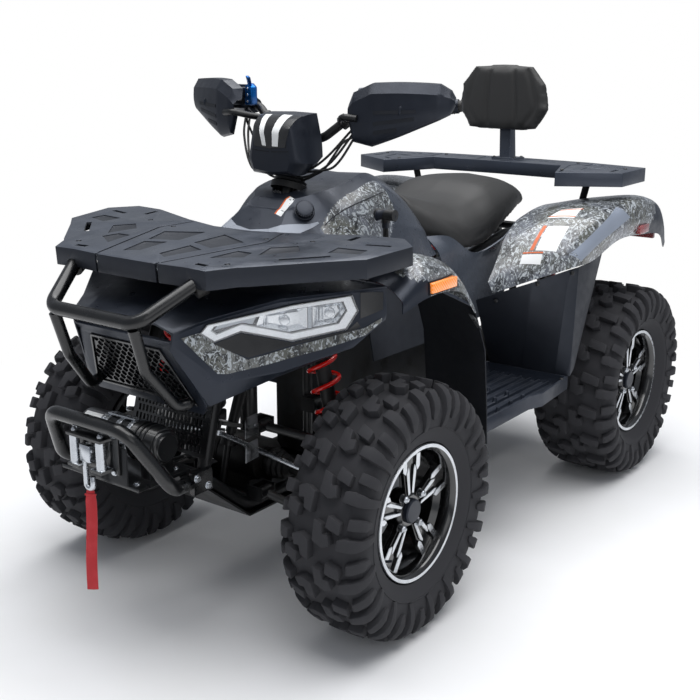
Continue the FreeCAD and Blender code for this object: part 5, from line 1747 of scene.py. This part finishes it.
@dataclass
class Bars:
    """The steering's covers, guards, controls and cables."""

    pod_rows: tuple = mm(
        (-449, ((0, 22), (46, 20), (56, -10), (62, -45), (54, -71), (0, -75))),
        (-440, ((0, 36), (60, 34), (70, -9), (77, -49), (64, -78), (0, -82))),
        (-418, ((0, 55), (64, 53), (80, -7), (92, -53), (73, -83), (0, -87))),
        (-388, ((0, 64), (70, 62), (86, -4), (96, -52), (74, -76), (0, -80))),
        (-353, ((0, 67), (72, 65), (87, -2), (90, -40), (66, -64), (0, -68))))
    guard_rows: tuple = mm(
        (-61, -30, 4), (-48, -84, 32), (0, -94, 54), (60, -72, 56), (120, -47, 55), (160, -30, 53),
        (186, -17, 38), (197, 4, 20))

    def pod(self) -> None:
        """The pod's shell with its dark screen, two plain stripes and a dark strip of painted
        shade along the lower crease.
        """
        form = Form()
        form.hull(around(self.pod_rows, height=CLAMP.z), 5, 5, folds=(1, 3, 4, 6, 7, 9))
        tree = form.tree()
        away = [f for f in form.bm.faces if f.calc_center_median().y > -0.3545]
        bmesh.ops.delete(form.bm, geom=away, context="FACES_ONLY")
        form.finish(
            "pod_shell", "dark_plastic", Coat.GUARD, node="instrument_pod", body="steering",
            smooth=30)
        face = Form()
        aim = (0, -0.88, 0.47)
        # A thin strip of the dark liner plastic along the lower crease is painted shade.
        face.drape(
            mm((4, -440, 1095.5), (60, -440, 1098.5)), mm((4, -440, 1092.5), (60, -440, 1095.5)),
            tree, (0, -1, 0), 0.0007, 8, 1, 2)
        face.across()
        face.drape(
            mm((-66, -400, 1178), (0, -400, 1180), (66, -400, 1178)),
            mm((-50, -450, 1106), (0, -450, 1102), (50, -450, 1106)), tree, aim, 0.0012, 8, 14)
        face.drape(
            mm((-50, -400, 1178.5), (-30, -400, 1179.5)), mm((-24, -450, 1108), (-12, -450, 1107)),
            tree, aim, 0.0018, 4, 14, 1)
        face.drape(
            mm((8, -400, 1179.8), (36, -400, 1179.2)), mm((8, -450, 1107), (26, -450, 1107)), tree,
            aim, 0.0018, 4, 14, 1)
        face.finish(
            "pod_face", "dark_plastic", Coat.GLOSS_BLACK, Coat.LABEL, Coat.LINER, body="steering",
            smooth=30)
        bolts = Form()
        for x, z in mm((-63, 1168), (63, 1168)):
            bolts.bolt((x, -0.4085, z), aim, 0.0045)
        bolts.finish("pod_screws", "frame_black", Coat.STEEL, body="steering")

    @staticmethod
    def guard_profile(u: float, low: float, high: float) -> list[Vector]:
        """One section of a guard, from its curled lower edge to its flat top flange.

        Args:
            u: The place along the guard.
            low: The section's lower end.
            high: Its upper end.

        Returns:
            The section's points.
        """
        tall = high - low
        end = 0.016 * max(0, (abs(u - 0.068) - 0.09) / 0.04) ** 1.6
        bulge = 0.007 * sin(pi * min(max((u + 0.061) / 0.258, 0.02), 0.98))
        return [
            Vector((u, 0.014 + end, low)), Vector((u, 0.003 + end, low + tall * 0.05)),
            Vector((u, -bulge + end, low + tall * 0.36)),
            Vector((u, -bulge * 0.6 + end, high - min(0.024, tall * 0.3))),
            Vector((u, 0.013 + end, high)), Vector((u, 0.016 + min(tall * 0.26, 0.026) + end,
            high + 0.001))]

    def guards(self) -> None:
        """The moulded hand guards with their grooves, arms and screws; the grooves are raised
        strips whose darker plastic is painted shade.
        """
        form = Form()
        rows = [self.guard_profile(*row) for row in self.guard_rows]
        form.shell(rows, 0.004, 6, 5, folds=(3, 4), ends=(1, 2, 5, 6), core=(0.07, 0, 0))
        place = Matrix.Translation((0.247, -0.368, 1.206)) @ Matrix.Rotation(radians(23), 4, "Z")
        form.turn(form.bm.verts[:], place)
        tree = form.tree()
        # The grooves are raised strips of the darker liner plastic: relief with painted shade.
        lines = Form()
        aim = place.to_3x3() @ Vector((0, -1, 0))
        for low, high, z0, z1 in mm((6, 108, -13, -9), (6, 104, -39, -26), (6, 62, -60, -52)):
            ends = [place @ Vector((low, -0.01, z0)), place @ Vector((high, -0.01, z1))]
            drop = Vector((0, 0, 0.0042))
            lines.drape(
                [e + drop for e in ends], [e - drop for e in ends], tree, aim, 0.0014, 12, 1)
        form.across()
        form.finish(
            "hand_guard_shells", "dark_plastic", Coat.GUARD, node="hand_guards", body="steering",
            smooth=28)
        lines.across()
        lines.finish("hand_guard_grooves_painted_shade", "dark_plastic", Coat.LINER, body="steering")
        arms = Form()
        inner = Vector((0.07, -0.33, 1.12))
        outer = Vector((0.16, -0.3, 1.192))
        middle = inner.lerp(outer, 0.62)
        run = (outer - inner).normalized()
        arms.rod(middle - run * 0.01, middle + run * 0.01, 0.018, None, 32, edge=0.0015, rounds=2)
        arms.line(
            [middle + Vector((0, -0.01, 0)), middle + Vector((0.018, -0.04, 0.006)),
            Vector((0.178, -0.383, 1.18)), Vector((0.214, -0.379, 1.178))], 0.0085, 8, 20)
        for spot in mm((222, -372, 1190), (222, -373, 1166)):
            arms.bolt(spot, (0.39, -0.92, 0), 0.0055)
        arms.across()
        arms.finish("hand_guard_arms", "dark_plastic", Coat.STEEL, body="steering")

    def grip_at(self, x: float) -> Vector:
        """A point of the left grip's centre line."""
        start, end = Vector((0.16, -0.3, 1.192)), Vector((0.388, -0.217, 1.206))
        return start + (end - start) * ((x - start.x) / (end.x - start.x))

    def controls(self) -> None:
        """The grips, switch boxes, levers and what is fitted beside them."""
        copied("hand_controls", 0.001, 1).finish(
            "control_housings", "dark_plastic", Coat.GUARD, body="steering", smooth=40)
        grips = Form()
        run = (self.grip_at(0.3) - self.grip_at(0.2)).normalized()
        for k in range(24):
            a = self.grip_at(0.268 + 0.005 * k)
            grips.rod(a, a + run * 0.0028, 0.0183, 0.018, 36, edge=0.0006)
        grips.rod(
            self.grip_at(0.392), self.grip_at(0.392) + run * 0.012, 0.0145, 0.013, 32, edge=0.002,
            rounds=2)
        grips.across()
        grips.finish("grip_ribs", "cable_rubber", Coat.BOOT, body="steering")
        extras = Form()
        extras.plate(
            mm((-196, -322, 1196), (-164, -330, 1196), (-164, -330, 1242), (-178, -327, 1252),
            (-192, -323, 1246)), (0.004, 0.02, 0), 0, edge=0.003, rounds=2)
        extras.plate(
            mm((-176, -330, 1246), (-169, -332, 1246), (-158, -350, 1266), (-164, -352, 1272)),
            (0.002, 0.01, 0), 0, edge=0.0012)
        for z in (1.206, 1.222, 1.238):
            extras.bolt((-0.18, -0.3265, z), (-0.24, -0.97, 0), 0.0035, 2)
        extras.plate(
            mm((-252, -318, 1214), (-202, -332, 1214), (-202, -332, 1242), (-252, -318, 1242)),
            (0.009, 0.034, 0), 1, edge=0.005, rounds=3)
        extras.plate(
            mm((-249, -316, 1241.5), (-205, -328, 1241.5), (-197, -300, 1241.5),
            (-241, -288, 1241.5)), (0, 0, 0.006), 1, edge=0.002, rounds=2)
        extras.finish(
            "left_side_controls", "dark_plastic", Coat.BLUE, Coat.GUARD, Coat.PLATED,
            body="steering")
        switch = Form()
        switch.plate(
            mm((176, -326, 1200), (222, -310, 1203), (222, -310, 1240), (210, -314, 1250),
            (176, -326, 1247)), (-0.012, 0.036, 0), 0, edge=0.005, rounds=3)
        for x, z, coat in ((0.189, 1.236, 1), (0.206, 1.233, 2)):
            at = Vector((x, -0.3215 + (x - 0.189) * 0.34, z))
            switch.rod(
                at, at + Vector((0.33, -0.94, 0)) * 0.007, 0.0062, 0.0055, 24, coat, edge=0.0012,
                rounds=2)
        switch.finish(
            "switch_box", "dark_plastic", Coat.SWITCH, Coat.GUARD, Coat.SPRING, body="steering")

    def cables(self) -> None:
        """The control cables and the loom that loop from the bars to the column."""
        copied("control_cables").finish(
            "throttle_and_brake_cables", "cable_rubber", Coat.SHEATH, body="steering", smooth=40)
        loom = Form()
        for shift, spread in mm((0, 18), (12, -4), (22, 10)):
            loom.line(
                [(0.19 + shift, -0.305, 1.18), (0.176 + shift, -0.345, 1.15),
                (0.128 + shift, -0.382, 1.085 - shift), (0.084 + shift * 0.6, -0.396,
                1.042 + spread * 0.6), (0.048, -0.394, 1.034 + spread),
                (0.024 + spread * 0.2, -0.38, 1.046 + spread)], 0.003, 8, 12)
        for shift in (0, 0.014):
            loom.line(
                [(-0.186 - shift, -0.31, 1.178), (-0.16 - shift, -0.35, 1.12),
                (-0.118, -0.385, 1.058 - shift), (-0.058, -0.396, 1.04), (-0.022, -0.38, 1.052)],
                0.003, 8, 12)
        loom.finish("loom", "cable_rubber", Coat.SHEATH, body="steering", smooth=60)

    def build(self) -> None:
        """Builds everything that turns with the bars."""
        self.pod()
        self.guards()
        self.controls()
        self.cables()


@dataclass
class Winch:
    """The winch with its rope guide, hook and pull strap."""

    strap_top: float = 0.4045
    strap_low: float = 0.162

    def motor(self) -> None:
        """The drum, its bands and plates, the rope guide and their fasteners."""
        form = copied("winch")
        form.mark(
            1, lambda p, _: p.y < -1.05 and abs(abs(p.x) - 0.042) < 0.0125 and 0.46 < p.z < 0.53)
        form.mark(
            1, lambda p, _: p.y > -1.01 and p.z > 0.432 and hypot(p.y + 0.955, p.z - 0.5) > 0.0428
            and any(abs(p.x - x) < 0.0062 for x in (-0.052, 0.002, 0.04)))
        form.mark(1, lambda p, _: abs(p.x) < 0.006 and p.y > -1.05 and abs(p.z - 0.5) < 0.006)
        form.soften(form.bm.verts, 0.001, 1)
        form.finish("winch_motor", "cast_metal", Coat.WINCH_BLACK, Coat.PLATED, smooth=35)
        trim = Form()
        for x, wide, coat in (
                (-0.046, 0.012, 1), (-0.004, 0.013, 1), (0.033, 0.01, 1), (0.062, 0.004, 0),
                (0.076, 0.004, 0), (0.09, 0.004, 0)):
            trim.rod((x, -0.955, 0.5), (x + wide, -0.955, 0.5), 0.046, None, 64, coat, edge=0.0008)
        for angle in (100, 140, 175):
            a = radians(angle)
            at = Vector((0, -0.955 + cos(a) * 0.0475, 0.5 + sin(a) * 0.0475))
            trim.rod(
                at + Vector((-0.046, 0, 0)), at + Vector((0.042, 0, 0)), 0.0032, None, 16, 1,
                edge=0.0006)
        ends = Form()
        ends.rod(
            (0.1195, -0.955, 0.5), (0.127, -0.955, 0.5), 0.04, 0.034, 48, 0, edge=0.003, rounds=2)
        for k in range(4):
            a = tau * (k + 0.5) / 4
            ends.bolt(
                (0.1235, -0.955 + 0.027 * cos(a), 0.5 + 0.027 * sin(a)), (1, 0, 0), 0.0042, 1)
        for z in (0.54, 0.455):
            ends.bolt((0.06, -1.0463, z), (0, -1, 0), 0.0062, 1, False)
        for z in (0.5345, 0.461):
            ends.rod(
                (0.042, -1.066, z), (0.042, -1.066, z + 0.006), 0.0072, None, 6, 1, edge=0.0008)
        ends.rod((0.042, -1.066, 0.54), (0.042, -1.066, 0.545), 0.0058, 0.003, 20, 1, edge=0.001)
        ends.plate(
            mm((53.5, -1046.3, 452), (73.5, -1046.3, 452), (73.5, -1046.3, 462),
            (53.5, -1046.3, 462)), (0, -0.0012, 0))
        ends.across()
        trim.join(ends)
        trim.finish("winch_trim", "cast_metal", Coat.WINCH_BLACK, Coat.PLATED)
        plate = Form()
        film = [
            (cos(a) * 0.0425, sin(a) * 0.0425) for a in (radians(108 + 9 * k) for k in range(9))]
        for (y0, z0), (y1, z1) in zip(film, film[1:]):
            plate.plate(
                [(-0.112, -0.955 + y0, 0.5 + z0), (-0.112, -0.955 + y1, 0.5 + z1),
                (-0.112, -0.955 + y1 * 1.015, 0.5 + z1 * 1.015), (-0.112, -0.955 + y0 * 1.015,
                0.5 + z0 * 1.015)], (0.056, 0, 0))
        bmesh.ops.remove_doubles(plate.bm, verts=plate.bm.verts[:], dist=1e-5)
        plate.finish("winch_plate", "cast_metal", Coat.LABEL)

    def hook(self) -> None:
        """The hook with its clevis, pin and latch."""
        form = copied("winch_hook", 0.0008, 1)
        form.rod((-0.021, -1.066, 0.5), (0.017, -1.066, 0.5), 0.0042, None, 20, edge=0.0008)
        form.rod((-0.023, -1.066, 0.5), (-0.019, -1.066, 0.5), 0.0062, None, 24, edge=0.0008)
        form.finish("hook_and_clevis", "silver_metal", Coat.PLATED, smooth=45)

    def strap(self) -> None:
        """The red pull strap, hanging below the hook with a slight twist."""
        form = Form()
        sheets: tuple[list[list[Vector]], ...] = ([], [])
        for sheet, lift in zip(sheets, (0.0009, -0.0009)):
            for i in range(45):
                t = i / 44
                lean = radians(30 + 6 * t)
                along = Vector((cos(lean), sin(lean), 0))
                out = Vector((sin(lean), -cos(lean), 0))
                centre = Vector(
                    (-0.001 - 0.01 * t + 0.0012 * sin(5 * t), -1.0655 - 0.003 * t + 0.0012
                    * sin(7 * t), mixed(self.strap_top, self.strap_low, t)))
                wide = mixed(0.0085, 0.0125, min(t / 0.1, 1))
                sheet.append(
                    [centre + along * (wide * s) + out * (lift + 0.0006 * cos(pi * s))
                    for s in (j / 3 - 1 for j in range(7))])
        form.walled(*sheets)
        strap = form.finish("pull_strap", "strap_red", Coat.STRAP, node="hook_strap", smooth=50)
        loop = Form()
        loop.plate(
            mm((-12.5, -1071.5, 393), (10.5, -1058.5, 393), (10.5, -1058.5, 397),
            (-12.5, -1071.5, 397)), (0.0014, -0.0026, 0), edge=0.0004)
        loop.finish("strap_stitching", "strap_red", Coat.STRAP)

    def build(self) -> None:
        """Builds the winch, then what hangs from its rope."""
        self.motor()
        self.hook()
        self.strap()


@dataclass
class Details:
    """Knobs, caps, screws and the coil springs."""

    shocks: tuple = mm(((276, -550, 465.7), (200, -550, 786)), ((236, 680, 472), (186, 640, 760)))
    coil_radius: float = 0.034
    wire: float = 0.0056
    turns: float = 5.0

    def springs(self) -> None:
        """The enamelled coils on the four shock absorbers, with a plated seat at each end and the
        damper body.
        """
        form = Form()
        for low, high in self.shocks:
            low, high = Vector(low), Vector(high)
            run = (high - low).normalized()
            side = run.cross(Vector((0, 1, 0))).normalized()
            other = run.cross(side)
            start, length = 0.0355, (high - low).length - 0.0355 - 0.0375
            path = []
            for k in range(int(self.turns * 40) + 1):
                share = k / (self.turns * 40)
                angle = tau * self.turns * share
                path.append(
                    low + run * (start + length * share) + (side * cos(angle) + other * sin(angle))
                    * self.coil_radius)
            form.line(path, self.wire, 1, 16)
            form.rod(
                low + run * 0.034, low + run * ((high - low).length - 0.148), 0.0185, None, 32, 2,
                edge=0.002, rounds=2)
            for at in (0.024, (high - low).length - 0.026):
                form.rod(
                    low + run * (at - 0.005), low + run * (at + 0.005), 0.0385, None, 40, 1,
                    edge=0.0012)
        form.across()
        form.finish(
            "coil_springs", "spring_red", Coat.SPRING, Coat.PLATED, Coat.BOOT,
            node="shock_springs", smooth=60)

    def knob(self) -> None:
        """The gear lever with its moulded T-handle."""
        copied("gear_lever", 0.001, 1).finish("gear_lever_stem", "black_plastic", Coat.STEEL)
        handle = Form()
        rows = []
        for t, half, tall in (
                (-1, 0.008, 0.009), (-0.86, 0.0115, 0.0135), (-0.4, 0.0115, 0.0125),
                (0, 0.0125, 0.014), (0.4, 0.0115, 0.0125), (0.86, 0.0115, 0.0135),
                (1, 0.008, 0.009)):
            centre = Vector(
                (0.241 + 0.025 * t, -0.2925 + 0.011 * t, 0.94 + 0.007 * cos(t * 1.4) - 0.004))
            rows.append(circle(centre, Vector((-0.4, 0.91, 0)) * half, Vector((0, 0, tall)), 1, 8))
        handle.hull(rows, 4, 3)
        handle.line(mm((239.5, -291, 934), (238.5, -290, 922), (236.5, -287, 910)), 0.0095, 4, 20)
        handle.finish("gear_knob", "black_plastic", Coat.GUARD, smooth=60)

    def tube_ends(self) -> None:
        """Round caps on the brush guard's drop tubes, with their screws."""
        caps = Form()
        at, down = Vector((0.15, -0.905, 0.592)), Vector((0.1, 0.42, -0.9)).normalized()
        caps.rod(at - down * 0.004, at + down * 0.006, 0.015, 0.0135, 32, edge=0.002, rounds=2)
        for y, z in mm((-902, 419), (-868, 393)):
            caps.bolt((0.164, y, z), (1, 0, 0), 0.0075, 1, False)
            caps.bolt((0.15, y, z), (-1, 0, 0), 0.0065, 1, False)
        for y in (-1.02, -0.905):
            caps.bolt((0.1, y, 0.4292), (0, 0, 1), 0.0065, 1, False)
        caps.across()
        caps.finish("guard_fasteners", "frame_black", Coat.BOOT, Coat.PLATED)
        plates = Form()
        for low, high in mm((402, 452), (462, 516)):
            plates.plate(
                [(0.157, -0.738, low), (0.157, -0.692, low + 0.004), (0.157, -0.694, high),
                (0.157, -0.736, high - 0.003)], (0.004, 0, 0), edge=0.0012)
            for y in (-0.728, -0.702):
                plates.bolt((0.161, y, (low + high) / 2), (1, 0, 0), 0.0045, 0, False)
        plates.across()
        plates.finish("frame_side_plates", "silver_metal", Coat.CASTING)

    def build(self) -> None:
        """Builds the springs, the knob and the fasteners."""
        self.springs()
        self.knob()
        self.tube_ends()


@dataclass
class FrameNodes:
    """The CAD nodes that no piece replaces; each keeps its mesh and gets a finish."""

    def build(self) -> None:
        """Gives each node its finish."""
        coats = {
            Coat.TUBE: ("brush_guard",), Coat.STEEL: ("frame", "suspension_arms", "skid_plate",
            "handlebar"), Coat.CASTING: ("knuckle_left", "knuckle_right"),
            Coat.DARK_CASTING: ("engine",), Coat.BOOT: ("driveline",),
            Coat.PLATED: ("tie_rod_left", "tie_rod_right", "muffler"),
            Coat.WINCH_BLACK: ("shock_dampers",)}
        for coat, nodes in coats.items():
            for node in nodes:
                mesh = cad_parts[node].data
                mesh.materials.clear()
                mesh.materials.append(coat.material())


@dataclass
class Studio:
    """The pale floor, the soft lights, the white surroundings and the camera."""

    floor_size: float = 60.0
    lit_radius: float = 2.2
    overhead_power: float = 290.0
    fill_power: float = 16.0
    world_strength: float = 0.36
    yaw: float = 0.6405
    pitch: float = 0.2718
    roll: float = 0.0031
    camera_at: Point = (1.7597, -2.47793, 1.3343)
    lens: float = 55.28

    def floor(self) -> None:
        """Lays the floor, which keeps the shadow near the vehicle and is white far out."""
        form = Form()
        bmesh.ops.create_grid(form.bm, x_segments=2, y_segments=2, size=self.floor_size)
        mesh = bpy.data.meshes.new("floor")
        form.bm.to_mesh(mesh)
        graph = Graph("studio_floor")
        graph.set(
            Base_Color=graph.blend(graph.band(graph.noise(3, 4), 0.3, 0.7), "eeeeee", "f2f2f3"),
            Roughness=0.9, Specular_IOR_Level=0.1)
        near = graph.node("VectorMath", {0: graph.place}, operation="LENGTH").outputs["Value"]
        far = graph.band(near, self.lit_radius * 0.55, self.lit_radius)
        white = graph.node("Emission", {"Color": "ffffff", "Strength": 1})
        mix = graph.node(
            "MixShader", {0: graph.math("MULTIPLY", far, graph.seen()),
            1: graph.surface.outputs[0], 2: white.outputs[0]})
        graph.tree.links.new(mix.outputs[0], graph.output.inputs["Surface"])
        mesh.materials.append(graph.material)
        floor = bpy.data.objects.new("floor", mesh)
        bpy.context.scene.collection.objects.link(floor)

    def world(self) -> None:
        """Surrounds the scene with soft light, and with white where it is seen."""
        world = bpy.data.worlds.new("studio")
        world.use_nodes = True
        world.node_tree.nodes.clear()
        graph = Graph(tree=world.node_tree)
        soft = graph.node("Background", {0: (0.86, 0.91, 1, 1), 1: self.world_strength})
        white = graph.node("Background", {0: "ffffff"})
        mix = graph.node("MixShader", {0: graph.seen(), 1: soft.outputs[0], 2: white.outputs[0]})
        graph.node("OutputWorld", {0: mix.outputs[0]})
        bpy.context.scene.world = world

    def lamp(self, name: str, at: Point, aim: Point, size: float, power: float) -> None:
        """Adds one square soft lamp.

        Args:
            name: The lamp's name.
            at: Where it hangs.
            aim: The point it faces.
            size: Its side in metres.
            power: Its power in watts.
        """
        light = bpy.data.lights.new(name, "AREA")
        light.size = size
        light.energy = power
        lamp = bpy.data.objects.new(name, light)
        lamp.location = at
        lamp.rotation_euler = (Vector(at) - Vector(aim)).to_track_quat("Z", "Y").to_euler()
        bpy.context.scene.collection.objects.link(lamp)

    def camera(self) -> None:
        """Stands the camera where the photographer stood."""
        sin_yaw, cos_yaw = sin(self.yaw), cos(self.yaw)
        back = Vector((sin_yaw * cos(self.pitch), -cos_yaw * cos(self.pitch), sin(self.pitch)))
        right = Vector((cos_yaw, sin_yaw, 0))
        up = back.cross(right)
        cos_roll, sin_roll = cos(self.roll), sin(self.roll)
        rolled = right * cos_roll + up * sin_roll
        raised = up * cos_roll - right * sin_roll
        data = bpy.data.cameras.new("camera")
        data.lens = self.lens
        data.sensor_width = 36
        data.clip_end = 200
        camera = bpy.data.objects.new("camera", data)
        camera.matrix_world = Matrix.Translation(self.camera_at) @ Matrix(
            (rolled, raised, back)).transposed().to_4x4()
        bpy.context.scene.collection.objects.link(camera)
        bpy.context.scene.camera = camera

    def build(self) -> None:
        """Sets the whole studio up."""
        bpy.context.scene.view_settings.view_transform = "Standard"
        self.floor()
        self.world()
        self.lamp("overhead", (0.2, 0, 4.2), (0, 0, 0.4), 5, self.overhead_power)
        self.lamp("fill", (3.6, -3.2, 2.2), (0, 0, 0.5), 2.5, self.fill_power)
        self.camera()


def main() -> None:
    """Builds the vehicle's pieces in order, then the studio."""
    logging.basicConfig(level=logging.INFO, format="%(message)s")
    for part in (
            FrameNodes(), Wheels(), Racks(), Lamps(), Nose(), Fenders(), Tank(), Saddle(), Sides(),
            Bars(), Winch(), Details(), Studio()):
        part.build()
        LOG.info("%s done", type(part).__name__)


if __name__ == "__main__":
    main()
